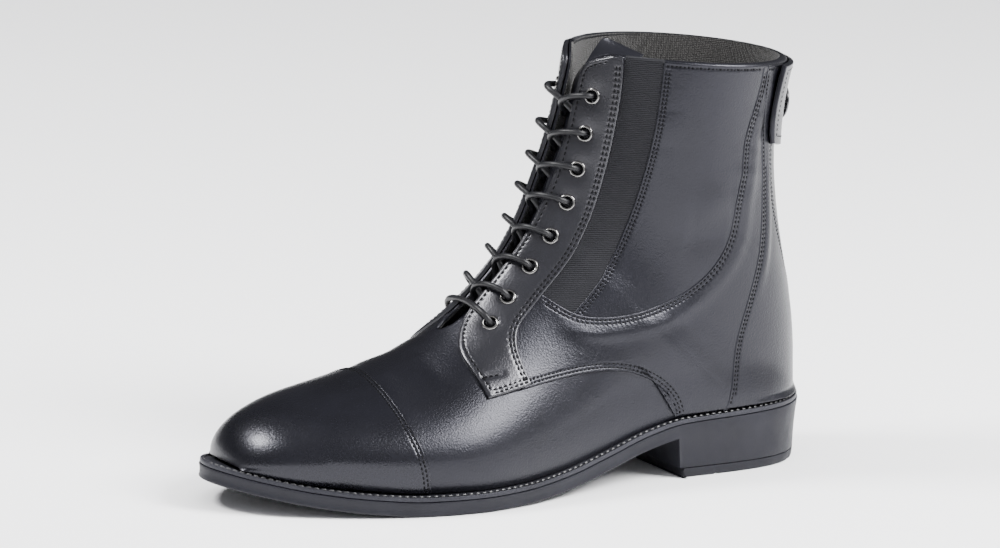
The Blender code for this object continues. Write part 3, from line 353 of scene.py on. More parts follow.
# Rows of stitches, each in a puckered groove
STITCH_PITCH = 2.1 * MM
FACING_PITCH = 2.5 * MM
STITCH_LENGTH = 1.55 * MM
STITCH_RADIUS = 0.30 * MM
SHAFT_PITCH = 1.8 * MM
QUARTER_PITCH = 2.0 * MM
COUNTER_PITCH = 1.9 * MM
CAP_ROWS = (1.5 * MM, 3.1 * MM)
STITCH_SIDES = 5
STITCH_RINGS = (
    # along as a share of half the length, width and height as shares of the radius
    (-1.0, 0.25, -1.10),
    (-0.8, 0.80, -0.35),
    (-0.4, 1.00, 0.00),
    (0.4, 1.00, 0.00),
    (0.8, 0.80, -0.35),
    (1.0, 0.25, -1.10),
)
GROOVE = 0.26 * MM
GROOVE_WIDTH = 0.46 * MM
FACING_GROOVE = 0.20 * MM
BAR_GROOVE = 0.45 * MM
PUCKER = 0.85
RIM_STITCH = 2.6 * MM

# The leather swells beside the curved seams: height, distance from the seam and width
QUARTER_ROLL = (0.90 * MM, 7.5 * MM, 3.4 * MM)
COUNTER_ROLL = (0.55 * MM, 5.6 * MM, 2.3 * MM)

# It sinks round each eyelet, and stands up between them
DIMPLE = (0.80 * MM, 5.6 * MM)
EYELET_SINK = 1.25 * MM
EYELET_SLOPE = 0.5 * MM
FACING_STAND = 0.55 * MM
EYELET_SEAT = FACING_TOP - 0.15 * MM
EYELET_PROFILE = np.array((
    # radius, height, in mm
    (2.35, -1.00),
    (2.38, 0.35),
    (2.50, 0.62),
    (2.72, 0.78),
    (3.00, 0.82),
    (3.30, 0.68),
    (3.52, 0.40),
    (3.60, 0.05),
    (3.40, -0.15),
    (2.70, -0.20),
    (2.62, -1.00),
)) * MM
GORE_PITCH = 0.8 * MM

# The tongue leans back at the top and has a fold down its middle there
TONGUE_START = 5.45
TONGUE_HALF_WIDTH = 0.0300
TONGUE_RISE = 6.5 * MM
TONGUE_LEAN = 15.0 * MM
TONGUE_TOP_FROM = 14.2
TONGUE_UNDER = 4.6 * MM
TONGUE_DEPTH = 2.0 * MM
TONGUE_FOLD = 7.0 * MM
TONGUE_FOLD_WIDTH = 0.30

LACE_SIDES = 14
# Half of a lace's crossing, from inside its eyelet to under the facing of the other side.
# down: share of the way to the next eyelet. across: 1 at its own eyelet, 0 over the ridge,
# below 0 on the other side. height: over the upper's outer face, in mm.
NEAR_ROUTE = (
    # down, across, height
    (0.00, 1.02, -1.2),
    (0.00, 1.00, 1.6),
    (0.02, 0.90, 4.0),
    (0.08, 0.72, 4.7),
    (0.18, 0.48, 4.6),
    (0.30, 0.25, 3.6),
    (0.42, 0.02, 1.9),
    (0.54, -0.20, -0.4),
    (0.66, -0.42, -3.2),
    (0.78, -0.65, -3.6),
)
FAR_ROUTE = (
    (0.00, 1.02, -1.2),
    (0.00, 1.00, 1.6),
    (0.02, 0.88, 4.6),
    (0.06, 0.68, 6.2),
    (0.14, 0.44, 6.4),
    (0.28, 0.22, 3.4),
    (0.42, 0.00, 0.0),
    (0.54, -0.20, -1.8),
    (0.66, -0.42, -3.4),
    (0.78, -0.65, -3.8),
)
# The bottom bar, from the inside of one eyelet to the other's; across and height as above
BAR_ROUTE = (
    # across, height
    (1.02, -1.2),
    (1.00, 1.6),
    (0.90, 3.8),
    (0.62, 4.3),
    (0.30, 2.7),
    (0.00, 1.9),
    (-0.30, 2.7),
    (-0.62, 4.3),
    (-0.90, 3.8),
    (-1.00, 1.6),
    (-1.02, -1.2),
)

# Sole, top lift and welt
BREAST_AT = 0.728
BREAST_SLOPE = 0.0018
LIFT_THICKNESS = 0.0042
CLEARANCE = 0.0003
WELT_THICKNESS = 0.0018
WELT_DEPTH = 0.0100
WELT_INSET = 0.0004
HEEL_TAPER = 0.0016
SOLE_ROUND = 0.0009
LIFT_TOP_INSET = HEEL_TAPER * (HEEL_RISE - LIFT_THICKNESS) / HEEL_RISE
NOTCHES = (0.80, 0.955)
NOTCH_WIDTH = 0.55 * MM
WELT_PITCH = 3.2 * MM
HEEL_ROUND = 0.25 * MM
WELT_PROFILE = (
    # inset, height over the sole's top, share of the wheel's marks
    (WELT_DEPTH, 0.0, 0),
    (5.00 * MM, 0.0, 0),
    (3.20 * MM, 0.05 * MM, 0),
    (2.40 * MM, -0.30 * MM, 1),
    (1.70 * MM, -0.34 * MM, 1),
    (1.00 * MM, 0.05 * MM, 0.4),
    (0.55 * MM, 0.02 * MM, 0.4),
    (0.42 * MM, -0.30 * MM, 0),
    (WELT_INSET, -0.80 * MM, 0),
    (WELT_INSET, -WELT_THICKNESS + 0.1 * MM, 0),
    (WELT_DEPTH, -WELT_THICKNESS + 0.1 * MM, 0),
)
WHEEL_MARK = 0.12 * MM


def column(table, index):
    return np.array([entry[index] for entry in table], float)


def unit(vectors):
    return vectors / np.maximum(np.linalg.norm(vectors, axis=-1, keepdims=True), 1e-12)


def bell(distance, width):
    return np.exp(-(distance / width) ** 2)


def eased(share):
    share = np.clip(share, 0, 1)
    return share * share * (3 - 2 * share)


def distances_along(points, axis=0):
    """How far every point lies from the start of its line; the lines run along this axis."""
    steps = np.linalg.norm(np.diff(points, axis=axis), axis=-1)
    start = np.zeros_like(np.take(steps, [0], axis))
    return np.concatenate([start, np.cumsum(steps, axis=axis)], axis)


def folded(around):
    """0 on the ridge, 1 on the feather or back, whichever the side."""
    return np.where(around > 1, 2 - around, np.abs(around))


def natural_spline(knots, values, places):
    """A smooth curve through every value."""
    knots = np.asarray(knots, float)
    values = np.asarray(values, float)
    places = np.asarray(places, float)
    count = len(knots)
    steps = np.diff(knots)
    system = np.eye(count)
    right = np.zeros(count)
    for i in range(1, count - 1):
        system[i, i - 1:i + 2] = steps[i - 1], 2 * (steps[i - 1] + steps[i]), steps[i]
        slopes = (values[i + 1] - values[i]) / steps[i], (values[i] - values[i - 1]) / steps[i - 1]
        right[i] = 6 * (slopes[0] - slopes[1])
    bend = np.linalg.solve(system, right)
    i = np.clip(np.searchsorted(knots, places) - 1, 0, count - 2)
    behind = places - knots[i]
    ahead = knots[i + 1] - places
    step = steps[i]
    curve = (bend[i] * ahead ** 3 + bend[i + 1] * behind ** 3) / (6 * step)
    curve = curve + (values[i] / step - bend[i] * step / 6) * ahead
    return curve + (values[i + 1] / step - bend[i + 1] * step / 6) * behind


def monotone_curve(knots, values, places):
    """A curve through every value that never overshoots them."""
    knots = np.asarray(knots, float)
    values = np.asarray(values, float)
    places = np.asarray(places, float)
    steps = np.diff(knots)
    slopes = np.diff(values) / steps
    tangents = np.zeros(len(knots))
    for i in range(1, len(knots) - 1):
        before, after = slopes[i - 1], slopes[i]
        if before * after > 0:
            first = 2 * steps[i] + steps[i - 1]
            second = steps[i] + 2 * steps[i - 1]
            tangents[i] = 3 * (steps[i - 1] + steps[i]) / (first / before + second / after)
    tangents[0] = slopes[0]
    tangents[-1] = slopes[-1]
    i = np.clip(np.searchsorted(knots, places) - 1, 0, len(knots) - 2)
    step = steps[i]
    u = (places - knots[i]) / step
    curve = (2 * u ** 3 - 3 * u ** 2 + 1) * values[i] + (u ** 3 - 2 * u ** 2 + u) * step * tangents[i]
    return curve + (-2 * u ** 3 + 3 * u ** 2) * values[i + 1] + (u ** 3 - u ** 2) * step * tangents[i + 1]


def half_width(along, side):
    """The sole's half width; the knots are angles, so that toe and heel come out round."""
    along = np.clip(along, 0, 1)
    knots = np.arccos(1 - 2 * column(OUTLINE, 0))
    widths = column(OUTLINE, 1 if side < 0 else 2)
    width = natural_spline(knots, widths, np.arccos(1 - 2 * along))
    return np.maximum(width, 0) * BALL_WIDTH / 2


def underside(along):
    knots = column(UNDERSIDE, 0)
    spring = monotone_curve(knots, column(UNDERSIDE, 1), along)
    rise = monotone_curve(knots, column(UNDERSIDE, 2), along)
    return TOE_SPRING * spring + HEEL_RISE * rise


def sole_top(along):
    return underside(along) + SOLE_THICKNESS


def feather(along, side):
    """Half width of the line where the upper meets the welt."""
    start = TOE_FEATHER / LENGTH
    end = 1 - HEEL_FEATHER / LENGTH
    share = np.clip((along - start) / (end - start), 0, 1)
    towards_heel = np.clip((along - WAIST[0]) / (WAIST[1] - WAIST[0]), 0, 1)
    inset = TOE_FEATHER + (HEEL_FEATHER - TOE_FEATHER) * towards_heel
    ends = np.clip(np.sin(np.pi * share) * FEATHER_ENDS, 0, 1)
    return np.maximum(half_width(share, side) - inset * ends, 0)


def section_numbers(place):
    """The sizes of the sections at these places, one array for each."""
    place = np.asarray(place, float)
    count = np.arange(LAST_SECTION + 1)
    foot = place <= HEEL_SECTION
    climb = column(SECTIONS, 1)
    front_z = INSTEP_HEIGHT * np.minimum(climb, 1)
    front_z = front_z + (COLLAR_HEIGHT - INSTEP_HEIGHT) * np.maximum(climb - 1, 0)
    heel_back = LENGTH - HEEL_FEATHER
    back_x = column(SECTIONS, 2) * LENGTH
    back_x[HEEL_SECTION] = heel_back
    seat = float(sole_top(heel_back / LENGTH)) + SEAT_CLEARANCE
    back_z = seat + (COLLAR_BACK - seat) * column(SECTIONS, 3)
    on_foot = slice(0, HEEL_SECTION + 1)
    on_shaft = slice(HEEL_SECTION, LAST_SECTION + 1)
    foot_x = natural_spline(count[on_foot], back_x[on_foot], np.minimum(place, HEEL_SECTION))
    shaft_x = natural_spline(count[on_shaft], back_x[on_shaft], np.maximum(place, HEEL_SECTION))
    shaft_z = natural_spline(count[on_shaft], back_z[on_shaft], np.maximum(place, HEEL_SECTION))
    numbers = {}
    numbers["front_x"] = natural_spline(count, column(SECTIONS, 0) * LENGTH, place)
    numbers["front_z"] = natural_spline(count, front_z, place)
    numbers["back_x"] = np.where(foot, np.minimum(foot_x, heel_back), shaft_x)
    along = numbers["back_x"] / LENGTH
    numbers["back_z"] = np.where(foot, sole_top(np.clip(along, 0, 1)) + SEAT_CLEARANCE, shaft_z)
    bulge = natural_spline(count, column(SECTIONS, 4), place) * BALL_WIDTH
    steady = HEEL_SECTION - 1
    on_ankle = slice(steady, LAST_SECTION + 1)
    blend = eased(place - (HEEL_SECTION - 2))
    for side, name, index in ((-1, "outer", 5), (1, "inner", 6)):
        foot_edge = np.where(foot, feather(along, side), 0)
        widths = column(SECTIONS, index)[on_ankle] * COLLAR_WIDTH / 2
        shaft = natural_spline(count[on_ankle], widths, np.maximum(place, steady))
        sole_edge = feather(np.minimum(along, HEEL_WIDTH_AT), side) + bulge
        widest = (1 - blend) * sole_edge + blend * shaft
        numbers["edge_" + name] = foot_edge
        numbers["wide_" + name] = np.maximum(widest, foot_edge)
    numbers["widest"] = natural_spline(count, column(SECTIONS, 7), place)
    numbers["round"] = natural_spline(count, column(SECTIONS, 8), place)
    fall = natural_spline(count, column(SECTIONS, 9), place)
    numbers["fall"] = np.clip(fall, STEEPEST_FALL, 1)
    numbers["lean"] = natural_spline(count, column(SECTIONS, 10), place) * BALL_WIDTH
    return numbers


def section_point(numbers, side, turn):
    """A point of a section; turn runs from 0 on the ridge to pi on the feather or back."""
    name = "outer" if side < 0 else "inner"
    wide = numbers["wide_" + name]
    edge = numbers["edge_" + name]
    widest = numbers["widest"]
    first = np.minimum(turn, np.pi / 2)
    second = np.maximum(turn - np.pi / 2, 0)
    power = 2 / numbers["round"]
    share_front = widest * (1 - np.maximum(np.cos(first), 0) ** power)
    half_front = wide * np.maximum(np.sin(first), 0) ** power
    share_back = widest + (1 - widest) * np.sin(second)
    drop = np.maximum(np.cos(second), 0) ** (2 * numbers["fall"])
    half_back = edge + (wide - edge) * drop
    is_front = turn <= np.pi / 2
    share = np.where(is_front, share_front, share_back)
    half = np.where(is_front, half_front, half_back)
    x = numbers["front_x"] + (numbers["back_x"] - numbers["front_x"]) * share
    z = numbers["front_z"] + (numbers["back_z"] - numbers["front_z"]) * share
    y = side * half + numbers["lean"] * (1 - share) ** 2
    return np.stack([x - LENGTH / 2, y, z], -1)


def last_surface(place, around, side):
    """Points of the last. around: 0 on the ridge, 1 on the feather or back, by length."""
    place, around = np.broadcast_arrays(np.asarray(place, float), np.asarray(around, float))
    shape = place.shape
    place = place.ravel()
    around = around.ravel()
    turns = np.linspace(0, np.pi, 121)
    stations, which = np.unique(np.round(place, 9), return_inverse=True)
    numbers = section_numbers(stations)
    wide = {key: value[:, None] for key, value in numbers.items()}
    points = section_point(wide, side, turns[None, :])
    lengths = distances_along(points, 1)
    turn = np.empty(len(place))
    for i in range(len(stations)):
        mine = which == i
        share = lengths[i] / lengths[i, -1]
        turn[mine] = np.interp(np.clip(around[mine], 0, 1), share, turns)
    mine = {key: value[which] for key, value in numbers.items()}
    return section_point(mine, side, turn).reshape(shape + (3,))


def half_girth(place, side):
    """Length of a section from the ridge to the feather or back."""
    numbers = {key: value[:, None] for key, value in section_numbers(place).items()}
    points = section_point(numbers, side, np.linspace(0, np.pi, 121)[None, :])
    return np.linalg.norm(np.diff(points, axis=1), axis=2).sum(1)


SIDE_SHIFT = (half_width(np.linspace(0, 1, 2001), -1).max()
              - half_width(np.linspace(0, 1, 2001), 1).max()) / 2


def softened(table, places, arounds):
    """The table with the turn from the foot to the shaft made soft."""
    reach = round(3 * TURN_SPREAD / TABLE_STEP)
    steps = np.arange(-reach, reach + 1) * TABLE_STEP
    kernel = np.exp(-0.5 * (steps / TURN_SPREAD) ** 2)
    kernel /= kernel.sum()
    soft = table.copy()
    for row in np.nonzero(np.abs(places - HEEL_SECTION) < TURN_REACH)[0]:
        soft[row] = np.tensordot(kernel, table[row - reach:row + reach + 1], 1)
    near = eased((TURN_REACH - np.abs(places - HEEL_SECTION)) / (0.6 * TURN_REACH))
    away = eased((TURN_FADE[1] - np.abs(arounds)) / (TURN_FADE[1] - TURN_FADE[0]))
    return table + (near[:, None] * away[None, :])[..., None] * (soft - table)


def surface_table():
    """Points at every TABLE_STEP and TABLE_ROUND, with a margin of TABLE_PAD all round."""
    places = np.linspace(0, LAST_SECTION, round(LAST_SECTION / TABLE_STEP) + 1)
    arounds = np.linspace(0, 1, round(1 / TABLE_ROUND) + 1)
    outer, inner = (softened(last_surface(places[:, None], arounds[None, :], side), places, arounds)
                    for side in (-1, 1))
    whole = np.concatenate([inner[:, :0:-1], outer], axis=1)
    reach = np.arange(TABLE_PAD, 0, -1)
    # Behind the heel the sides run on into each other; on the foot they end at the feather
    closed = (places >= HEEL_SECTION)[:, None, None]
    before = np.where(closed, outer[:, -1 - reach], 2 * inner[:, -1:] - inner[:, -1 - reach])
    back = reach[::-1]
    after = np.where(closed, inner[:, -1 - back], 2 * outer[:, -1:] - outer[:, -1 - back])
    whole = np.concatenate([before, whole, after], axis=1)
    first = 2 * whole[:1] - whole[1:2]
    last = 2 * whole[-1:] - whole[-2:-1]
    return np.concatenate([first, whole, last], axis=0)


TABLE = surface_table()


def cubic_weights(f):
    """Weights of the four neighbours of a place between the middle two."""
    return ((-f ** 3 + 2 * f ** 2 - f) / 2, (3 * f ** 3 - 5 * f ** 2 + 2) / 2,
            (-3 * f ** 3 + 4 * f ** 2 + f) / 2, (f ** 3 - f ** 2) / 2)


def surface(place, around):
    """around: 0 to 1 on the outer side, 0 to -1 and 2 to 1 on the inner side."""
    place, around = np.broadcast_arrays(np.asarray(place, float), np.asarray(around, float))
    signed = np.where(around > 1, around - 2, around)
    row = np.clip(place, 0, LAST_SECTION) / TABLE_STEP
    col = (np.clip(signed, -1, 1) + 1) / TABLE_ROUND + TABLE_PAD
    i = np.clip(np.floor(row).astype(int), 0, TABLE.shape[0] - 4)
    j = np.clip(np.floor(col).astype(int), 1, TABLE.shape[1] - 3)
    down = cubic_weights(row - i)
    across = cubic_weights(col - j)
    points = np.zeros(place.shape + (3,))
    for a in range(4):
        for b in range(4):
            weight = (down[a] * across[b])[..., None]
            points += weight * TABLE[i + a, j + b - 1]
    return points


def surface_normal(place, around):
    """Unit normals that point out of the boot."""
    step_place = 0.03
    step_around = 0.006
    place, around = np.broadcast_arrays(np.asarray(place, float), np.asarray(around, float))
    limit = np.interp(place, (HEEL_SECTION, HEEL_SECTION + 0.5), (0.96, 1.0))
    beyond = around > 1
    around = np.where(beyond, np.maximum(around, 2 - limit), np.clip(around, -limit, limit))
    low = np.clip(place - step_place, 0, LAST_SECTION)
    high = np.clip(place + step_place, 0, LAST_SECTION)
    along = surface(high, around) - surface(low, around)
    left = surface(place, around - step_around)
    # Over the ridge and the back the step runs on into the other side
    across = surface(place, around + step_around) - left
    return unit(np.cross(across, along))


def raised(place, around, height):
    """Points at a height over the upper's outer face, clear of the welt; below it if negative."""
    place, around = np.broadcast_arrays(np.asarray(place, float), np.asarray(around, float))
    normal = surface_normal(place, around)
    near_sides = np.clip((np.abs(around) - LEVEL_FROM) / LEVEL_OVER, 0, 1)
    near_sides = near_sides * np.clip((HEEL_SECTION + 0.4 - place) / 0.4, 0, 1)
    near_toe = np.clip((0.4 - place) / 0.3, 0, 1)
    normal[..., 2] *= 1 - np.maximum(near_sides, near_toe)
    # The lasted edge stands nearly upright on the welt
    upright = eased((folded(around) - FOOT_FILL_FROM) / (1 - FOOT_FILL_FROM))
    filled = height + FOOT_FILL * upright * eased(HEEL_SECTION + 0.6 - place)
    points = surface(place, around) + unit(normal) * (filled - SKIN_DEPTH)[..., None]
    points[..., 2] = np.maximum(points[..., 2], sole_top(along_sole(points)) + SKIN_CLEARANCE)
    return points


def relief(points):
    """Height that the folds add at these points."""
    total = np.zeros(points.shape[:-1])
    for side, place, around, to_place, to_around, width, height in FOLDS:
        start = surface(place, -side * around)
        end = surface(to_place, -side * to_around)
        line = end - start
        share = np.clip(((points - start) @ line) / (line @ line), 0, 1)
        distance = np.linalg.norm(points - start - share[..., None] * line, axis=-1)
        fade = np.sin(np.pi * np.clip(share, 0.08, 0.92)) ** 0.7
        total += height * MM * fade * bell(distance, width * MM)
    return total


def side_of(side, around):
    return around if side < 0 else -around


# Materials

class Nodes:
    """A node tree in the making. Plain numbers and colours are set on a node's own sockets, and
    outputs of other nodes are linked to them."""

    def __init__(self, tree):
        self.tree = tree
        self.coordinates = self.add("ShaderNodeTexCoord")
        self.place = self.coordinates.outputs["Object"]

    def fill(self, socket, value):
        if isinstance(value, bpy.types.NodeSocket):
            self.tree.links.new(value, socket)
        else:
            socket.default_value = (*value, 1) if isinstance(value, tuple) else value

    def put(self, node, **sockets):
        for key, value in sockets.items():
            self.fill(node.inputs[key.replace("_", " ")], value)

    def add(self, kind, settings=(), **sockets):
        made = self.tree.nodes.new(kind)
        for key, value in dict(settings).items():
            setattr(made, key, value)
        self.put(made, **sockets)
        return made

    def noise(self, scale, detail=3.0, roughness=0.55):
        return self.add("ShaderNodeTexNoise", Vector=self.place, Scale=scale, Detail=detail,
                        Roughness=roughness).outputs["Fac"]

    def ramp(self, value, low, high, to_low, to_high):
        """Maps a value between low and high onto another range."""
        return self.add("ShaderNodeMapRange", Value=value, From_Min=low, From_Max=high, To_Min=to_low,
                        To_Max=to_high).outputs["Result"]

    def bump(self, height, strength, distance, before=None):
        made = self.add("ShaderNodeBump", Height=height, Strength=strength, Distance=distance)
        if before is not None:
            self.put(made, Normal=before)
        return made.outputs["Normal"]

    def mix(self, share, first, second):
        return self.add("ShaderNodeMix", {"data_type": "RGBA"}, Factor=share, A=first,
                        B=second).outputs["Result"]

    def shade(self, **sockets):
        self.put(self.tree.nodes["Principled BSDF"], **sockets)


def blank_material(name):
    made = bpy.data.materials.new(name)
    made.use_nodes = True
    return made, Nodes(made.node_tree)


def leather(name, dark, light, roughness, spread, grain, coat, specular=0.31, tint=(0.87, 0.87, 1.0)):
    """Smooth dyed leather: fine pores and soft creases, with a thin worn finish."""
    made, nodes = blank_material(name)
    broad = nodes.noise(26, 4)
    worn = nodes.add("ShaderNodeMath", {"operation": "MULTIPLY_ADD"})
    for socket, value in zip(worn.inputs, (nodes.noise(900, 3, 0.6), 0.5, broad)):
        nodes.fill(socket, value)
    cells = nodes.add("ShaderNodeTexVoronoi", {"feature": "SMOOTH_F1"}, Vector=nodes.place, Scale=1500.0)
    pores = nodes.bump(cells.outputs["Distance"], 0.6 * grain, 0.00020)
    grained = nodes.bump(nodes.noise(1150, 3, 0.6), grain, 0.00026, pores)
    nodes.shade(Base_Color=nodes.mix(nodes.ramp(broad, 0.35, 0.68, 0, 1), dark, light),
                Roughness=nodes.ramp(worn.outputs["Value"], 0.45, 1.05, roughness - spread,
                                     roughness + spread),
                Normal=nodes.bump(nodes.noise(60, 3, 0.5), 0.22, 0.0008, grained),
                IOR=1.5, Specular_IOR_Level=specular, Specular_Tint=tint, Coat_Weight=coat,
                Coat_Roughness=0.22)
    return made


def elastic(name, dark, light):
    """Ribbed elastic: fine cords that run straight across. Its colour is darker in the grooves between the
    cords and lighter on their crests: painted shade and painted highlight.
    """
    made, nodes = blank_material(name)
    # The texture's bands lie 2 pi / 20 apart at scale 1
    rib_height_and_shade = nodes.add("ShaderNodeTexWave", {"bands_direction": "Z"}, Vector=nodes.place,
                     Scale=2 * math.pi / (20 * GORE_PITCH), Distortion=0.4,
                     Detail_Scale=3.0).outputs["Fac"]
    ribs = nodes.bump(rib_height_and_shade, 0.55, 0.0004)
    # The colour follows the ribs' height: painted shade in the grooves, painted highlight on the crests
    nodes.shade(Base_Color=nodes.mix(rib_height_and_shade, dark, light), Roughness=0.82,
                Normal=nodes.bump(nodes.noise(1400, 2), 0.35, 0.0003, ribs),
                Specular_IOR_Level=0.20, Sheen_Weight=0.03)
    return made


def rubber(name, colour, roughness):
    made, nodes = blank_material(name)
    worn = tuple(1.35 * part for part in colour)
    nodes.shade(Base_Color=nodes.mix(nodes.ramp(nodes.noise(45, 5), 0.4, 0.7, 0, 1), colour, worn),
                Roughness=nodes.ramp(nodes.noise(160, 4), 0.3, 0.7, roughness - 0.06, roughness + 0.06),
                Normal=nodes.bump(nodes.noise(1300, 3), 0.22, 0.0003), Specular_IOR_Level=0.20)
    return made


def woven(name, dark, light, scale):
    """A coarse lining mesh or cloth."""
    made, nodes = blank_material(name)
    cells = nodes.add("ShaderNodeTexVoronoi", Vector=nodes.place, Scale=scale, Randomness=0.35)
    share = nodes.ramp(cells.outputs["Distance"], 0.15, 0.6, 1, 0)
    nodes.shade(Base_Color=nodes.mix(share, dark, light), Normal=nodes.bump(share, 0.8, 0.0006),
                Roughness=0.92, Sheen_Weight=0.2)
    return made


def cord_material(name, colour, roughness, specular=0.5):
    """Waxed fibres, too fine to be seen one by one."""
    made, nodes = blank_material(name)
    lighter = tuple(1.7 * part for part in colour)
    nodes.shade(Base_Color=nodes.mix(nodes.noise(2600, 2), colour, lighter), Roughness=roughness,
                Normal=nodes.bump(nodes.noise(1500, 2, 0.5), 0.4, 0.0003), Specular_IOR_Level=specular)
    return made


def metal(name, colour, roughness):
    made, nodes = blank_material(name)
    nodes.shade(Base_Color=colour, Metallic=1.0,
                Roughness=nodes.ramp(nodes.noise(500), 0.3, 0.7, roughness - 0.05, roughness + 0.08))
    return made


def lacquer(name, colour):
    made, nodes = blank_material(name)
    nodes.shade(Base_Color=colour, Roughness=nodes.ramp(nodes.noise(400), 0.3, 0.7, 0.22, 0.34),
                Coat_Weight=0.6)
    return made


BLACK = (0.0022, 0.0022, 0.0033)
SOFT_BLACK = (0.0036, 0.0036, 0.0054)

LEATHER = leather("boot_leather", BLACK, SOFT_BLACK, 0.33, 0.05, 0.55, 0.05)
CAP_LEATHER = leather("polished_leather", BLACK, SOFT_BLACK, 0.28, 0.04, 0.40, 0.08)
FACING_LEATHER = leather("facing_leather", BLACK, SOFT_BLACK, 0.31, 0.05, 0.45, 0.25,
                         0.55, (0.93, 0.92, 1.0))
TONGUE_LEATHER = leather("tongue_leather", BLACK, SOFT_BLACK, 0.36, 0.05, 0.25, 0.10)
WELT_LEATHER = leather("welt_leather", (0.008, 0.008, 0.010), (0.020, 0.020, 0.024), 0.50, 0.08,
                       0.50, 0.0)
LINING = woven("lining_mesh", (0.0045, 0.0040, 0.0037), (0.023, 0.0205, 0.019), 1300)
INSOLE_CLOTH = woven("insole_cloth", (0.010, 0.009, 0.009), (0.036, 0.033, 0.031), 1200)
# The elastic's two colours are the painted shade of its rib grooves and the painted highlight of its rib
# crests
ELASTIC = elastic("gore_elastic", (0.0030, 0.0030, 0.0042), (0.0120, 0.0120, 0.0150))
SOLE_RUBBER = rubber("sole_rubber", (0.0085, 0.0085, 0.0120), 0.50)
LIFT_RUBBER = rubber("lift_rubber", (0.0085, 0.0085, 0.0115), 0.58)
THREAD = cord_material("thread", (0.0016, 0.0016, 0.0021), 0.62, 0.12)
# Lighter than the other thread: partly the thread's own colour, partly a painted highlight for the bright
# dashes that the light from above gives on the welt's stitches
WELT_THREAD = cord_material("welt_thread", (0.012, 0.012, 0.014), 0.45)
LACE = cord_material("lace_cord", (0.0040, 0.0040, 0.0050), 0.42, 0.32)
EYELET_METAL = metal("eyelet_nickel", (0.20, 0.195, 0.19), 0.20)
SNAP_LACQUER = lacquer("snap_lacquer", (0.014, 0.014, 0.016))


# Meshes

def add_piece(name, points, faces, finish, replaces=(), second=None, second_faces=()):
    """A closed piece, moved to the middle of the sole's width as the solids are. Faces whose
    index is in second_faces take the second finish."""
    mesh = bpy.data.meshes.new(name)
    points = np.asarray(points, float) + np.array((0, SIDE_SHIFT, 0))
    mesh.from_pydata(points.tolist(), [], [tuple(int(i) for i in face) for face in faces])
    mesh.materials.append(finish)
    if second is not None:
        mesh.materials.append(second)
        index = np.zeros(len(mesh.polygons), np.int32)
        index[np.asarray(list(second_faces), int)] = 1
        mesh.polygons.foreach_set("material_index", index)
    mesh.validate()
    mesh.shade_smooth()
    mesh.set_sharp_from_angle(angle=math.radians(50))
    thing = bpy.data.objects.new(name, mesh)
    bpy.context.scene.collection.objects.link(thing)
    if replaces:
        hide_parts(*replaces)
    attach(thing, "root")
    return thing


def grid_faces(rows, columns, wrap_rows=False, wrap_columns=False, flipped=False, base=0):
    """Faces of a grid of vertices that come row by row; where it wraps, its end meets its start."""
    i = np.arange(rows if wrap_rows else rows - 1)[:, None]
    j = np.arange(columns if wrap_columns else columns - 1)[None, :]
    below = (i + 1) % rows * columns
    right = (j + 1) % columns
    corners = (i * columns + j, below + j, below + right, i * columns + right)
    if flipped:
        corners = corners[:1] + corners[:0:-1]
    return (np.stack(corners, -1).reshape(-1, 4) + base).tolist()


def tube_faces(rings, sides):
    """Faces of a tube of rings and of its two ends."""
    last = (rings - 1) * sides
    ends = [list(range(sides))[::-1], list(range(last, last + sides))]
    return grid_faces(rings, sides, wrap_columns=True, flipped=True) + ends


def merged(parts):
    """Vertices and faces of several meshes as those of one."""
    vertices, faces = [], []
    for part, part_faces in parts:
        base = len(vertices)
        vertices += list(part)
        faces += [[base + i for i in face] for face in part_faces]
    return vertices, faces


def wall_faces(rows, columns, skip):
    """Faces between a fine outer sheet and an inner one that keeps every skip-th column.
    Returns the faces, where the inner ones start, and the kept columns."""
    kept = list(range(0, columns - 1, skip)) + [columns - 1]
    base = rows * columns
    count = len(kept)
    faces = grid_faces(rows, columns)
    for i in range(rows - 1):
        a = i * columns
        b = base + i * count
        faces.append((a + columns, a, b, b + count))
        faces.append((a + columns - 1, a + 2 * columns - 1, b + 2 * count - 1, b + count - 1))
    for row in (0, rows - 1):
        for k in range(count - 1):
            edge = [row * columns + j for j in range(kept[k], kept[k + 1] + 1)]
            edge += [base + row * count + k + 1, base + row * count + k]
            faces.append(edge if row == 0 else edge[::-1])
    inner_start = len(faces)
    return faces + grid_faces(rows, count, flipped=True, base=base), inner_start, kept


def sheet_piece(name, place, around, outer, inner, finish, replaces=(), skip=5, shaped=True,
                second=None, lift=None):
    """A wall of leather: outer and inner are heights over the upper's outer face."""
    rows, columns = place.shape
    points = raised(place, around, 0 * place)
    extra = relief(points) if shaped else 0 * place
    top = raised(place, around, outer + extra)
    low = raised(place, around, np.broadcast_to(inner, place.shape) + extra)
    if lift is not None:
        top = top + lift
        low = low + lift
    faces, inner_start, kept = wall_faces(rows, columns, skip)
    points = np.concatenate([top.reshape(-1, 3), low[:, kept].reshape(-1, 3)])
    second_faces = range(inner_start, len(faces)) if second is not None else ()
    return add_piece(name, points, faces, finish, replaces, second, second_faces)


def graded(length, step):
    """Distances from 0 to length, close together near both ends."""
    steps = EDGE_STEPS
    if length < 2.4 * steps[-1]:
        steps = steps * length / (2.4 * steps[-1])
    middle = length - 2 * steps[-1]
    count = max(2, int(math.ceil(middle / step)))
    inside = steps[-1] + middle * np.arange(1, count) / count
    return np.concatenate([steps, inside, length - steps[::-1]])


def rounding(distance, radius):
    """1 at an edge, 0 from radius inwards, as a quarter round."""
    share = np.clip(distance / radius, 0, 1)
    return 1 - np.sqrt(np.maximum(1 - (1 - share) ** 2, 0))


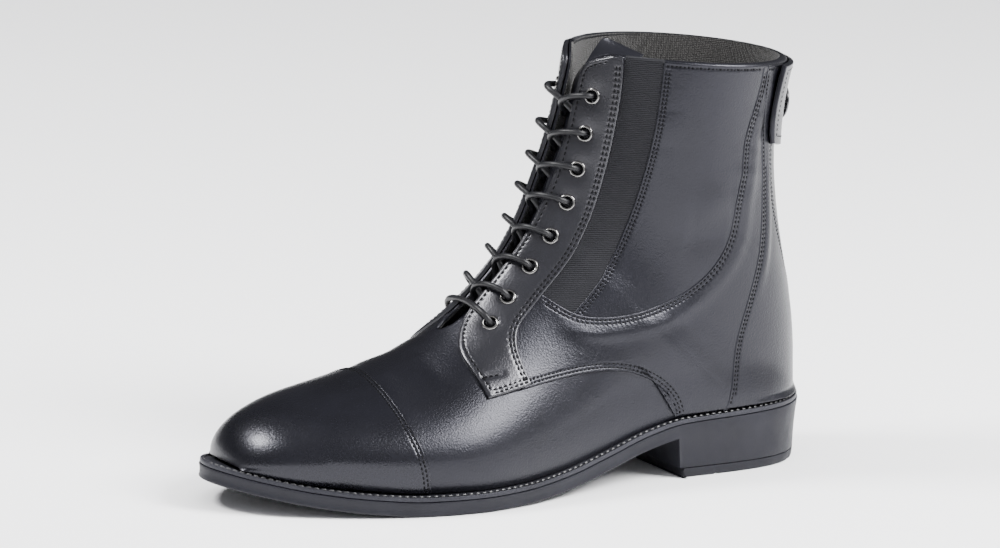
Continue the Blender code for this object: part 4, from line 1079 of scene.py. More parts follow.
class Seam:
    """A line on the outer side: section, round and how far a panel runs on beyond it."""

    def __init__(self, place, around, under=0.0):
        self.place = place
        self.around = around
        self.under = np.broadcast_to(under, place.shape)

    def points(self, side=-1):
        return surface(self.place, side_of(side, self.around))

    def evened(self):
        """The same line with its samples evenly spread."""
        run = distances_along(self.points())
        at = np.linspace(0, run[-1], SEAM_SAMPLES)
        return Seam(np.interp(at, run, self.place), np.interp(at, run, self.around),
                    np.interp(at, run, self.under))

    def cut(self, keep, under=0.0):
        return Seam(self.place[keep], self.around[keep], under).evened()


def joined(*seams):
    """One line of several that follow one another."""
    return Seam(np.concatenate([seam.place for seam in seams]),
                np.concatenate([seam.around for seam in seams]),
                np.concatenate([seam.under for seam in seams])).evened()


def round_seam(table, under=0.0):
    """A seam given by section and round."""
    knots = np.arange(len(table))
    at = np.linspace(0, len(table) - 1, SEAM_SAMPLES)
    return Seam(natural_spline(knots, column(table, 0), at),
                natural_spline(knots, column(table, 1), at), under).evened()


def side_seam(table, under=0.0):
    """A seam given as the outer side shows it, found on the last and cut below the rim."""
    flat = np.array(table, float) * MM
    knots = distances_along(flat)
    at = np.linspace(0, knots[-1], SEAM_SAMPLES)
    x = natural_spline(knots, flat[:, 0], at) - LENGTH / 2
    z = natural_spline(knots, flat[:, 1], at)
    places = np.linspace(4, LAST_SECTION, 97)
    arounds = np.linspace(0.02, 0.98, 65)
    grid = surface(places[:, None], arounds[None, :])
    gap = (grid[..., 0].ravel() - x[:, None]) ** 2 + (grid[..., 2].ravel() - z[:, None]) ** 2
    nearest_one = gap.argmin(axis=1)
    place = places[nearest_one // len(arounds)]
    around = arounds[nearest_one % len(arounds)]
    step = 1e-3
    for _ in range(14):
        here = surface(place, around)
        by_place = (here - surface(place - step, around)) / step
        by_around = (surface(place, around + step) - here) / step
        miss_x, miss_z = x - here[:, 0], z - here[:, 2]
        size = by_place[:, 0] * by_around[:, 2] - by_place[:, 2] * by_around[:, 0]
        move = (miss_x * by_around[:, 2] - miss_z * by_around[:, 0]) / size
        turn = (by_place[:, 0] * miss_z - by_place[:, 2] * miss_x) / size
        place = np.clip(place + np.clip(move, -0.2, 0.2), 4, LAST_SECTION)
        around = np.clip(around + np.clip(turn, -0.03, 0.03), 0.01, 0.992)
    over_rim = np.nonzero(place > PANEL_TOP)[0]
    end = over_rim[0] if len(over_rim) else len(place)
    if len(over_rim):
        place[end] = PANEL_TOP
        end += 1
    return Seam(place[:end], around[:end], under).evened()


def nearest_on(points, line, run):
    """Distance from every point to a line, and how far along the line its nearest place is."""
    flat = points.reshape(-1, 3)
    distance = np.empty(len(flat))
    along = np.empty(len(flat))
    for begin in range(0, len(flat), 8192):
        part = flat[begin:begin + 8192]
        gap = (line ** 2).sum(1)[None, :] - 2 * part @ line.T
        index = gap.argmin(axis=1)
        best = np.full(len(part), 1e9)
        where = np.zeros(len(part))
        for step in (-1, 0):
            low = np.clip(index + step, 0, len(line) - 2)
            piece = line[low + 1] - line[low]
            size = np.maximum((piece ** 2).sum(1), 1e-16)
            share = np.clip(((part - line[low]) * piece).sum(1) / size, 0, 1)
            miss = np.linalg.norm(part - line[low] - share[:, None] * piece, axis=1)
            closer = miss < best
            best = np.where(closer, miss, best)
            where = np.where(closer, run[low] + share * (run[low + 1] - run[low]), where)
        distance[begin:begin + 8192] = best
        along[begin:begin + 8192] = where
    return distance.reshape(points.shape[:-1]), along.reshape(points.shape[:-1])


def moved_on_surface(place, around, offset):
    """Section and signed round of the points that lie this far off, along the surface."""
    step_place = 0.01
    step_around = 0.002
    target = surface(place, around) + offset
    for _ in range(3):
        first = surface(place + step_place, around) - surface(place - step_place, around)
        first /= 2 * step_place
        second = surface(place, around + step_around) - surface(place, around - step_around)
        second /= 2 * step_around
        miss = target - surface(place, around)
        a = (first * first).sum(-1)
        b = (first * second).sum(-1)
        c = (second * second).sum(-1)
        d = (first * miss).sum(-1)
        e = (second * miss).sum(-1)
        size = np.maximum(a * c - b * b, 1e-18)
        place = np.clip(place + (c * d - b * e) / size, 0, LAST_SECTION)
        around = around + (a * e - b * d) / size
    return place, around


class Panel:
    """A leather panel between two seams. Its edges are first, second, start and end; the last
    two are the straight lines between the seams' ends."""

    def __init__(self, first, second, side, top, lows, hidden=(), radius=0.7 * MM):
        self.side = side
        self.top = top
        self.radius = radius
        self.first = first
        self.second = second
        self.rows = []
        share = np.linspace(0, 1, 120)
        start = Seam(first.place[0] + (second.place[0] - first.place[0]) * share,
                     first.around[0] + (second.around[0] - first.around[0]) * share)
        end = Seam(first.place[-1] + (second.place[-1] - first.place[-1]) * share,
                   first.around[-1] + (second.around[-1] - first.around[-1]) * share)
        self.edges = {"first": first, "second": second, "start": start, "end": end}
        self.lows = dict(zip(self.edges, lows))
        self.hidden = hidden
        self.lines = {key: seam.points(side) for key, seam in self.edges.items()}
        self.runs = {key: distances_along(line) for key, line in self.lines.items()}
        middle = SEAM_SAMPLES // 2
        self.middle = (self.lines["first"][middle] + self.lines["second"][middle]) / 2
        self.groove = GROOVE

    def stitch_row(self, edge, inset, start, stop, pitch):
        """The line of a row of stitches, at a distance from an edge and trimmed at its ends."""
        seam = self.edges[edge]
        line = self.lines[edge]
        run = self.runs[edge]
        keep = (run >= start) & (run <= run[-1] - stop)
        signed = side_of(self.side, seam.around)
        inward = unit(np.cross(surface_normal(seam.place, signed), unit(np.gradient(line, axis=0))))
        if edge in ("first", "second"):
            other = self.lines["second" if edge == "first" else "first"]
            towards = other - line
        else:
            towards = self.middle - line
        if (inward * towards).sum() < 0:
            inward = -inward
        place, around = moved_on_surface(seam.place[keep], signed[keep], inward[keep] * inset)
        self.rows.append((edge, inset, start, stop, pitch))
        return place, around, self.top - 0.5 * self.groove, run[keep]

    def build(self, name, finish, replaces, inner=SKIN_CLEARANCE, shape=None):
        length = max(self.runs["first"][-1], self.runs["second"][-1])
        share = graded(length, ROW_STEP) / length
        samples = np.linspace(0, 1, SEAM_SAMPLES)
        (place_a, around_a, under_a), (place_b, around_b, under_b) = (
            [np.interp(share, samples, value) for value in (seam.place, seam.around, seam.under)]
            for seam in (self.first, self.second))
        mix = np.linspace(0, 1, 9)
        ruling = surface(place_a[:, None] + (place_b - place_a)[:, None] * mix,
                         side_of(self.side, around_a[:, None] + (around_b - around_a)[:, None] * mix))
        width = np.maximum(np.linalg.norm(np.diff(ruling, axis=1), axis=2).sum(1), 0.3 * MM)
        whole = width + under_a + under_b
        count = len(graded(float(whole.max()), COLUMN_STEP)) - 2 * len(EDGE_STEPS)
        inside = np.linspace(0, 1, count + 2)[1:-1]
        across = np.empty((len(share), count + 2 * len(EDGE_STEPS)))
        for i, size in enumerate(whole):
            steps = EDGE_STEPS * min(1, size / (2.4 * EDGE_STEPS[-1]))
            middle = steps[-1] + (size - 2 * steps[-1]) * inside
            across[i] = np.concatenate([steps, middle, size - steps[::-1]])
        part = (across - under_a[:, None]) / width[:, None]
        place = np.minimum(place_a[:, None] + (place_b - place_a)[:, None] * part, PANEL_TOP)
        around = around_a[:, None] + (around_b - around_a)[:, None] * part
        signed = side_of(self.side, around)
        points = surface(place, signed)
        drop = 0 * place
        height = 0 * place + self.top
        near = {}
        for edge, seam in self.edges.items():
            near[edge] = nearest_on(points, self.lines[edge], self.runs[edge])
            if edge in self.hidden:
                continue
            distance, along = near[edge]
            under = np.interp(along, self.runs[edge], seam.under)
            cut = 1 - np.clip(under / (0.5 * MM), 0, 1)
            drop = np.maximum(drop, (self.top - self.lows[edge]) * rounding(distance, self.radius) * cut)
        for edge, inset, start, stop, pitch in self.rows:
            distance, along = near[edge]
            ends_at = self.runs[edge][-1] - stop
            inside_row = np.clip((along - start) / MM, 0, 1) * np.clip((ends_at - along) / MM, 0, 1)
            pucker = 1 - PUCKER * np.cos(2 * np.pi * (along - start) / pitch)
            height = height - self.groove * inside_row * pucker * bell(distance - inset, GROOVE_WIDTH)
        if shape is not None:
            height = height + shape(points, place, near)
        height = np.maximum(height - drop, inner + 0.05 * MM)
        return sheet_piece(name, place, signed, height, inner, finish, replaces)


# Stitches


def stitch_mesh(points, normals, run, pitch, length, radius):
    """Vertices and faces of a row of stitches along a line of points; run is the distance
    along the seam that the row follows."""
    along, wide, sink = np.array(STITCH_RINGS).T
    count = max(1, int((run[-1] - run[0]) / pitch))
    where = (run[0] + pitch / 2 + pitch * np.arange(count))[:, None] + along * length / 2

    def at(values, places):
        return np.stack([np.interp(places, run, values[:, c]) for c in range(3)], -1)

    tangent = unit(at(points, where + 0.2 * MM) - at(points, where - 0.2 * MM))
    out = at(normals, where)
    out = unit(out - tangent * (out * tangent).sum(-1, keepdims=True))
    angles = (2 * np.pi * np.arange(STITCH_SIDES) / STITCH_SIDES)[:, None]
    spokes = (np.cross(tangent, out)[..., None, :] * np.cos(angles) + out[..., None, :] * np.sin(angles))
    centres = at(points, where) + out * (sink * radius)[:, None]
    vertices = centres[..., None, :] + spokes * (wide * radius)[:, None, None]
    size = len(along) * STITCH_SIDES
    faces = [[k * size + i for i in face] for k in range(count)
             for face in tube_faces(len(along), STITCH_SIDES)]
    return vertices.reshape(-1, 3), faces


def stitches(name, lines, pitch=STITCH_PITCH, length=STITCH_LENGTH):
    """One piece of many stitches. lines: section, signed round, height and run for each row."""
    parts = []
    for place, around, height, run in lines:
        points = raised(place, around, height + relief(raised(place, around, 0 * place)))
        parts.append(stitch_mesh(points, surface_normal(place, around), run, pitch, length,
                                 STITCH_RADIUS))
    vertices, faces = merged(parts)
    return add_piece(name, vertices, faces, THREAD)


# Upper


def throat_edge(stations):
    gap = np.interp(stations, column(THROAT_EDGE, 0), column(THROAT_EDGE, 1)) * THROAT_HALF_GAP
    around = gap / half_girth(stations, -1)
    return np.where(stations < THROAT_START - 1e-6, 0, around)


def vamp_height(place, around):
    """The vamp stands a little proud of the hidden part of the upper."""
    end = np.interp(np.abs(around), column(VAMP_END, 0), column(VAMP_END, 1))
    return VAMP_RISE * eased((end + 0.40 - place) / 0.15)


def build_upper():
    stations = np.concatenate([
        np.linspace(0, 0.5, 10), np.linspace(0.5, 3.9, 26)[1:], np.linspace(3.9, THROAT_START, 60)[1:],
        np.linspace(THROAT_START, 8.9, 76)[1:], np.linspace(8.9, 15.2, 50)[1:],
        np.linspace(15.2, LAST_SECTION, 14)[1:]])
    columns = 96
    rows = len(stations)
    outer, inner, quads, index = [], [], [], {}
    start = throat_edge(stations)
    near = np.array((0, 0.004, 0.010, 0.018))
    spread = np.concatenate([near[:-1], near[-1] + (1 - near[-1]) * np.linspace(0, 1, columns - 3)])
    around = start[:, None] + (1 - start[:, None]) * spread[None, :]
    place = np.repeat(stations[:, None], columns, axis=1)
    closed = place >= HEEL_SECTION - 1e-9
    throat = (stations >= THROAT_START - 1e-6)[:, None]
    for side in (-1, 1):
        signed = side_of(side, around)
        flat = raised(place, signed, 0 * place)
        extra = relief(flat)
        # The throat's cut edge is rounded
        edge = (around - start[:, None]) * half_girth(stations, side)[:, None]
        drop = np.where(throat, WALL * 0.5 * rounding(edge, 0.9 * MM), 0)
        height = vamp_height(place, around) - drop + extra
        points = raised(place, signed, height)
        inside = raised(place, signed, -WALL + drop + extra)
        for i in range(rows):
            for j in range(columns):
                joined_front = j == 0 and stations[i] < THROAT_START - 1e-6
                joined_back = j == columns - 1 and closed[i, j]
                if side > 0 and (joined_front or joined_back):
                    index[side, i, j] = index[-side, i, j]
                    continue
                index[side, i, j] = len(outer)
                outer.append(points[i, j])
                inner.append(inside[i, j])
        for i in range(rows - 1):
            for j in range(columns - 1):
                quad = [index[side, i, j], index[side, i + 1, j],
                        index[side, i + 1, j + 1], index[side, i, j + 1]]
                quads.append(tuple(quad if side < 0 else quad[::-1]))
    count = len(outer)
    faces = list(quads)
    faces += [tuple(count + i for i in reversed(quad)) for quad in quads]
    used = {}
    for quad in quads:
        for i in range(4):
            edge = (quad[i], quad[(i + 1) % 4])
            used.setdefault(tuple(sorted(edge)), []).append(edge)
    for edges in used.values():
        if len(edges) == 1:
            first, second = edges[0]
            faces.append((second, first, count + first, count + second))
    lined = range(len(quads), 2 * len(quads))
    add_piece("upper_skin", outer + inner, faces, LEATHER, ("upper",), LINING, lined)


def build_toe_cap():
    columns = 230
    around = np.linspace(-CAP_EDGE, CAP_EDGE, columns)
    seam = CAP_SEAM + (CAP_SEAM_SIDE - CAP_SEAM) * np.abs(around) ** CAP_SEAM_BEND
    share = np.concatenate([np.linspace(0, 1, 80) ** 1.25 * 0.93, 0.93 + 0.07 * np.linspace(0, 1, 51)[1:]])
    start = 0.10
    place = start + (seam[None, :] - start) * share[:, None]
    signed = np.repeat(around[None, :], len(share), axis=0)
    points = raised(place, signed, 0 * place)
    run = distances_along(points)
    back = run[-1] - run
    height = CAP_TOP - (CAP_TOP - VAMP_RISE) * rounding(back, 0.7 * MM)
    side_run = around * 100 * MM
    for inset in CAP_ROWS:
        pucker = 1 + 0.5 * np.cos(2 * np.pi * side_run / STITCH_PITCH)[None, :]
        height = height - GROOVE * pucker * bell(back - inset, 0.55 * MM)
    sheet_piece("toe_cap_skin", place, signed, height, SKIN_CLEARANCE, CAP_LEATHER,
                ("toe_cap",), skip=5)
    lines = []
    for inset in CAP_ROWS:
        at = np.array([np.interp(-inset, -back[:, c], place[:, c]) for c in range(columns)])
        lines.append((at, around, CAP_TOP - 0.5 * GROOVE, distances_along(surface(at, around))))
    stitches("toe_cap_stitches", lines)


def eyelet_dimples(points, side):
    """The facing sinks round each eyelet and stands up between them."""
    total = np.zeros(points.shape[:-1])
    for place, around in EYELETS:
        middle = surface(place, side_of(side, around))
        distance = np.linalg.norm(points - middle, axis=-1)
        total -= DIMPLE[0] * bell(distance, DIMPLE[1])
        total -= EYELET_SINK * np.clip((EYELET_HOLE / 2 + EYELET_SLOPE - distance) / EYELET_SLOPE, 0, 1)
    return total + FACING_STAND


def seam_lines():
    """The seams that neighbouring panels share."""
    lines = {name: side_seam(table) for name, table in (
        ("facing", FACING_REAR), ("shaft", SHAFT_FRONT), ("quarter", QUARTER_TOP),
        ("swoosh", SWOOSH), ("counter", COUNTER_FRONT))}
    facing_points = lines["facing"].points()
    quarter_points = lines["quarter"].points()
    gap = np.linalg.norm(facing_points[:, None] - quarter_points[None, :], axis=2)
    on_facing, on_quarter = np.unravel_index(gap.argmin(), gap.shape)
    lines["facing_low"] = lines["facing"].cut(slice(0, on_facing + 1), UNDERLAP)
    lines["facing_high"] = lines["facing"].cut(slice(max(on_facing - 20, 0), None), UNDERLAP)
    lines["quarter_edge"] = lines["quarter"].cut(slice(on_quarter, None))
    behind = np.linalg.norm(quarter_points - lines["shaft"].points()[20], axis=1).argmin()
    lines["shaft_rear"] = lines["quarter"].cut(slice(behind + 6, None), UNDERLAP)
    return lines


def build_facing(side, label):
    panel = Panel(round_seam(FACING_FRONT), LINES["facing"], side, FACING_TOP,
                  (BASE, GORE_TOP, VAMP_RISE, BASE), radius=0.8 * MM)
    panel.groove = FACING_GROOVE
    rows = (("first", 2.5 * MM, 3.0 * MM, 1.0 * MM), ("second", 1.6 * MM, 2.0 * MM, 3.4 * MM),
            ("second", 3.1 * MM, 2.0 * MM, 3.4 * MM), ("start", 1.6 * MM, 3.0 * MM, 1.0 * MM),
            ("start", 3.2 * MM, 3.0 * MM, 1.0 * MM))
    lines = [panel.stitch_row(*row, FACING_PITCH) for row in rows]
    # The short bar of stitches that holds the facing's front
    first, second = panel.first, panel.second
    bar_first = int(SEAM_SAMPLES * 10.5 * MM / panel.runs["first"][-1])
    share = np.linspace(0.10, 0.50, 40)
    place = first.place[bar_first] + (second.place[30] - first.place[bar_first]) * share
    around = first.around[bar_first] + (second.around[30] - first.around[bar_first]) * share
    bar = side_of(side, around)
    bar_points = surface(place, bar)
    bar_run = distances_along(bar_points)
    lines.append((place, bar, FACING_TOP - 0.5 * BAR_GROOVE, bar_run))

    def swell(points, place):
        """The leather swells round the eyelets."""
        return eyelet_dimples(points, side) * np.clip((place - 5.95) / 0.5, 0, 1)

    def shape(points, place, near):
        # The cut edge shows the layer beneath
        layer = 0.25 * MM * bell(near["first"][0] - 0.75 * MM, 0.22 * MM)
        pressed = BAR_GROOVE * bell(nearest_on(points, bar_points, bar_run)[0], 1.5 * MM)
        return swell(points, place) - layer - pressed

    panel.build("facing_skin_" + label, FACING_LEATHER, ("facing_" + label,), shape=shape)
    lines = [(place, around, height + swell(surface(place, around), place), run)
             for place, around, height, run in lines]
    stitches("facing_stitches_" + label, lines, pitch=FACING_PITCH, length=1.8 * MM)


def build_gore(side, label):
    panel = Panel(LINES["facing_high"], Seam(LINES["shaft"].place, LINES["shaft"].around, UNDERLAP), side,
                  GORE_TOP, (BASE, BASE, BASE, BASE), hidden=("start",))
    panel.build("gore_skin_" + label, ELASTIC, ("gore_" + label,))


def build_shaft(side, label):
    panel = Panel(LINES["shaft"], LINES["shaft_rear"], side, SHAFT_TOP,
                  (GORE_TOP - 0.1 * MM, BASE, BASE, BASE), hidden=("start",), radius=0.6 * MM)
    lines = [panel.stitch_row(edge, inset, start, stop, SHAFT_PITCH) for edge, inset, start, stop in (
        ("first", 1.4 * MM, 5.0 * MM, RIM_STITCH), ("first", 2.9 * MM, 5.0 * MM, RIM_STITCH),
        ("end", 1.7 * MM, 1.0 * MM, 0.5 * MM))]
    panel.build("shaft_skin_" + label, LEATHER, ("shaft_" + label,))
    stitches("shaft_stitches_" + label, lines, pitch=SHAFT_PITCH, length=1.3 * MM)


def build_quarter(side, label):
    first = joined(LINES["facing_low"], LINES["quarter_edge"])
    counter = LINES["counter"]
    second = joined(LINES["swoosh"], round_seam(SWOOSH_FOOT), Seam(counter.place, counter.around, UNDERLAP))
    panel = Panel(first, second, side, QUARTER_TOP_HEIGHT, (SHAFT_TOP - 0.1 * MM, VAMP_RISE, BASE, BASE),
                  hidden=("start",), radius=0.7 * MM)
    facing_part = distances_along(LINES["facing_low"].points())[-1]
    swoosh_part = distances_along(LINES["swoosh"].points())[-1]
    total = panel.runs["second"][-1]
    lines = [panel.stitch_row(edge, inset, start, stop, QUARTER_PITCH) for edge, inset, start, stop in (
        ("first", 1.4 * MM, facing_part + 1.0 * MM, RIM_STITCH),
        ("first", 3.0 * MM, facing_part + 1.0 * MM, RIM_STITCH),
        ("second", 1.5 * MM, 0.0, total - swoosh_part + 1.5 * MM),
        ("second", 3.1 * MM, 0.0, total - swoosh_part + 1.5 * MM))]

    def roll(points, place, near):
        """The leather swells along the curved seam, most under the gore."""
        distance, along = near["first"]
        after = along - facing_part
        share = eased((after - 9 * MM) / (14 * MM)) * (1 - 0.35 * eased((after - 45 * MM) / (30 * MM)))
        share = share * eased((panel.runs["first"][-1] - along) / (25 * MM))
        return QUARTER_ROLL[0] * share * bell(distance - QUARTER_ROLL[1], QUARTER_ROLL[2])

    panel.build("quarter_skin_" + label, LEATHER, ("quarter_" + label,), shape=roll)
    stitches("quarter_stitches_" + label, lines, pitch=QUARTER_PITCH, length=1.45 * MM)


def build_counter(side, label):
    panel = Panel(LINES["counter"], round_seam(COUNTER_REAR), side, COUNTER_TOP,
                  (QUARTER_TOP_HEIGHT - 0.1 * MM, BASE, BASE, BASE), radius=0.7 * MM)
    lines = [panel.stitch_row(edge, inset, start, stop, COUNTER_PITCH) for edge, inset, start, stop in (
        ("first", 1.5 * MM, 4.0 * MM, RIM_STITCH), ("first", 2.9 * MM, 8.0 * MM, 45.0 * MM),
        ("second", 1.3 * MM, 40.0 * MM, RIM_STITCH), ("end", 1.7 * MM, 0.5 * MM, 0.5 * MM))]

    def roll(points, place, near):
        """The leather swells beside the front seam, most on the shaft."""
        distance, along = near["first"]
        share = eased((along - 45 * MM) / (30 * MM)) * eased((panel.runs["first"][-1] - along) / (20 * MM))
        return COUNTER_ROLL[0] * share * bell(distance - COUNTER_ROLL[1], COUNTER_ROLL[2])

    panel.build("counter_skin_" + label, LEATHER, ("counter_" + label,), shape=roll)
    stitches("counter_stitches_" + label, lines, pitch=COUNTER_PITCH, length=1.4 * MM)


def band(name, places, low_edge, high_edge, top, inner, finish, replaces, radius=0.6 * MM, stand=None):
    """A strip round the back between two edges, given as round for each of its places."""
    columns = 70
    spread = (1 - np.cos(np.linspace(0, np.pi, columns))) / 2
    around = low_edge[:, None] + (high_edge - low_edge)[:, None] * spread[None, :]
    place = np.repeat(places[:, None], columns, axis=1)
    points = surface(place, around)
    across = distances_along(points, 1)
    down = distances_along(points)
    edge = np.minimum(np.minimum(across, across[:, -1:] - across), np.minimum(down, down[-1:] - down))
    height = top - (top - inner) * 0.8 * rounding(edge, radius)
    extra = stand(place, around) if stand is not None else 0 * place
    return sheet_piece(name, place, around, height + extra, inner + extra, finish, replaces,
                       shaped=False)


def even_rows(start, end, count):
    return start + (end - start) * (1 - np.cos(np.linspace(0, np.pi, count))) / 2


def build_back():
    zip_edge = round_seam(ZIP_EDGE)
    places = even_rows(ZIP_EDGE[0][0], ZIP_EDGE[-1][0], 160)
    edge = np.interp(places, zip_edge.place, zip_edge.around)
    band("zip_strip_skin", places, edge, 2 - edge, STRIP_TOP, BASE, LEATHER, ("zip_strip",))
    places = even_rows(*BACKSTRAP, 60)
    half = BACKSTRAP_HALF_WIDTH / half_girth(places, -1)
    band("backstrap_skin", places, 1 - half, 1 + half, TAB_BASE + BACKSTRAP_DEPTH, TAB_BASE, LEATHER,
         ("backstrap",))

    def stand(place, around):
        """The tab's free end stands off the boot."""
        free = np.clip((0.90 - around) / (0.90 - TAB_OUTER), 0, 1)
        return TAB_STAND * free * free

    places = even_rows(*TAB_SECTIONS, 60)
    corner = np.clip(1 - (places - places[0]) / 0.45, 0, 1) ** 2 * 0.018
    band("back_tab_skin", places, TAB_OUTER + corner, np.full(len(places), 2 - TAB_INNER),
         TAB_BASE + TAB_DEPTH, TAB_BASE, LEATHER, ("back_tab",), stand=stand)
    low, high = TAB_SECTIONS
    rows = [(np.linspace(low + 0.12, high - 0.12, 200), np.full(200, TAB_OUTER + 0.030))]
    rows += [(np.full(300, place), np.linspace(TAB_OUTER + 0.030, 2 - TAB_INNER - 0.03, 300))
             for place in (low + 0.13, high - 0.13)]
    stitches("back_tab_stitches", [
        (place, around, TAB_BASE + TAB_DEPTH + stand(place, around) - 0.08 * MM,
         distances_along(surface(place, around))) for place, around in rows])
    place = np.linspace(12.6, 15.8, 400)
    around = np.interp(place, zip_edge.place, zip_edge.around) + 1.6 * MM / half_girth(place, -1)
    stitches("zip_strip_stitches", [
        (place, line, STRIP_TOP - 0.1 * MM, distances_along(surface(place, line)))
        for line in (around, 2 - around)])


def frame_at(place, around, height):
    """A point over the upper and three directions: across, up the boot and outwards."""
    place = np.array([place], float)
    around = np.array([around], float)
    out = surface_normal(place, around)[0]
    point = raised(place, around, np.array([height]))[0]
    up = surface(place + 0.05, around)[0] - surface(place - 0.05, around)[0]
    up = unit(up - out * (up @ out))
    return point, np.cross(up, out), up, out


def turned(frame_of, profile, sides):
    """Vertices and faces of a turned ring: profile rows are (radius, height), closed."""
    point, across, up, out = frame_of
    vertices = []
    for s in range(sides):
        angle = 2 * math.pi * s / sides
        direction = across * math.cos(angle) + up * math.sin(angle)
        vertices += [point + direction * radius + out * height for radius, height in profile]
    return vertices, grid_faces(sides, len(profile), wrap_rows=True, wrap_columns=True)


def build_eyelets():
    for label, side in (("outer", -1), ("inner", 1)):
        for number, (place, around) in enumerate(EYELETS, 1):
            frame_of = frame_at(place, side_of(side, around), EYELET_SEAT)
            vertices, faces = turned(frame_of, EYELET_PROFILE, 40)
            name = f"eyelet_ring_{label}_{number}"
            add_piece(name, vertices, faces, EYELET_METAL, (f"eyelet_{label}_{number}",))


def build_snap():
    frame_of = frame_at(*SNAP_AT, TAB_BASE + TAB_DEPTH + 0.5 * MM)
    dome = [(0.80 + 0.20 * math.cos(angle), 0.35 + 0.45 * math.sin(angle))
            for angle in np.linspace(0, math.pi / 2, 9)]
    # radius, height: shares of the cap's own
    middle = [(0.55, 0.86), (0.50, 0.80), (0.30, 0.84), (0.02, 0.86)]
    radius = SNAP_DIAMETER / 2
    profile = [(0.02 * radius, -0.3 * MM), (0.80 * radius, -0.3 * MM), (0.92 * radius, 0.2 * MM)]
    profile += [(radius * wide, SNAP_THICKNESS * high) for wide, high in dome + middle]
    vertices, faces = turned(frame_of, profile, 64)
    add_piece("snap_cap", vertices, faces, SNAP_LACQUER, ("snap",))


def build_tongue():
    rows = 220
    columns = 81
    place = np.linspace(TONGUE_START, LAST_SECTION, rows)
    girth = half_girth(place, -1)
    half = TONGUE_HALF_WIDTH * np.clip(0.55 + (place - TONGUE_START) / 4, 0, 1)
    spread = np.linspace(-1, 1, columns)
    arounds = spread[None, :] * (half / girth)[:, None]
    places = np.repeat(place[:, None], columns, axis=1)
    top = np.clip((places - TONGUE_TOP_FROM) / (LAST_SECTION - TONGUE_TOP_FROM), 0, 1)
    depth = TONGUE_UNDER + TONGUE_LEAN * top ** 2
    fold = TONGUE_FOLD * top * np.exp(-np.abs(spread[None, :]) / TONGUE_FOLD_WIDTH)
    edge = np.minimum((1 - np.abs(spread))[None, :] * half[:, None], (LAST_SECTION - places) * 20 * MM)
    roll = 0.9 * MM * rounding(edge, 1.2 * MM)
    rise = TONGUE_RISE * (1 - np.abs(spread[None, :]) ** 1.2) * np.clip((places - 15.0) / 1.0, 0, 1) ** 1.5
    lift = np.stack([0 * rise, 0 * rise, rise], -1)
    sheet_piece("tongue_skin", places, arounds, fold - depth - roll, fold - depth - TONGUE_DEPTH + roll,
                TONGUE_LEATHER, ("tongue",), skip=4, shaped=False, lift=lift)


# Laces

def smooth_route(points, count):
    points = np.array(points, float)
    steps = np.linalg.norm(np.diff(points, axis=0), axis=1) ** 0.5
    knots = np.concatenate([[0], np.cumsum(steps)])
    at = np.linspace(0, knots[-1], count)
    return np.stack([natural_spline(knots, points[:, k], at) for k in range(3)], 1)


def tube_mesh(points, radius, sides):
    """Vertices and faces of a round cord, with rounded ends."""
    tangents = unit(np.gradient(points, axis=0))
    first = unit(np.cross(tangents[0], (0.3, 0.2, 0.9)))
    vertices = []
    for i, point in enumerate(points):
        first = unit(first - tangents[i] * (first @ tangents[i]))
        second = np.cross(tangents[i], first)
        edge = min(i, len(points) - 1 - i)
        wide = (0.35, 0.8, 1.0)[min(edge, 2)]
        for s in range(sides):
            angle = 2 * math.pi * s / sides
            vertices.append(point + (first * math.cos(angle) + second * math.sin(angle)) * radius * wide)
    return vertices, tube_faces(len(points), sides)


def over(place, around, height):
    return raised(np.array([place], float), np.array([around], float), np.array([height], float))[0]


def build_laces():
    radius = LACE_DIAMETER / 2
    for number, ((place, around), (following, _)) in enumerate(zip(EYELETS, EYELETS[1:]), 1):
        strands = []
        for sign, table in ((1, NEAR_ROUTE), (-1, FAR_ROUTE)):
            route = [over(place + (following - place) * down, sign * around * across, height * MM)
                     for down, across, height in table]
            strands.append(tube_mesh(smooth_route(route, 70), radius, LACE_SIDES))
        vertices, faces = merged(strands)
        add_piece(f"lace_pair_{number}", vertices, faces, LACE, (f"lace_crossing_{number}",))
    place, around = EYELETS[-1]
    route = [over(place, around * across, height * MM) for across, height in BAR_ROUTE]
    vertices, faces = tube_mesh(smooth_route(route, 90), radius, LACE_SIDES)
    add_piece("lace_bottom_bar", vertices, faces, LACE, ("lace_bar",))


# Sole

def closed_ring(shares, inset):
    """A curve round the sole, drawn in by inset: the outer side, then back up the inner."""
    inset = np.broadcast_to(np.asarray(inset, float), shares.shape)
    outer = np.stack([shares * LENGTH - LENGTH / 2, -half_width(shares, -1)], 1)
    inner = np.stack([shares * LENGTH - LENGTH / 2, half_width(shares, 1)], 1)
    ring = np.concatenate([outer, inner[::-1]])
    depth = np.concatenate([inset, inset[::-1]])
    ahead = np.roll(ring, -1, axis=0)
    behind = np.roll(ring, 1, axis=0)
    same_ahead = np.linalg.norm(ahead - ring, axis=1) < 1e-9
    same_behind = np.linalg.norm(behind - ring, axis=1) < 1e-9
    ahead[same_ahead] = np.roll(ring, -2, axis=0)[same_ahead]
    behind[same_behind] = np.roll(ring, 2, axis=0)[same_behind]
    tangent = unit(ahead - behind)
    return ring + np.stack([-tangent[:, 1], tangent[:, 0]], 1) * depth[:, None]


def both_sides(shares):
    return np.concatenate([shares, shares[::-1]])


def along_sole(points):
    return np.clip((points[..., 0] + LENGTH / 2) / LENGTH, 0, 1)


def round_shares(start, end, count):
    angles = np.linspace(math.acos(1 - 2 * start), math.acos(1 - 2 * end), count)
    return (1 - np.cos(angles)) / 2


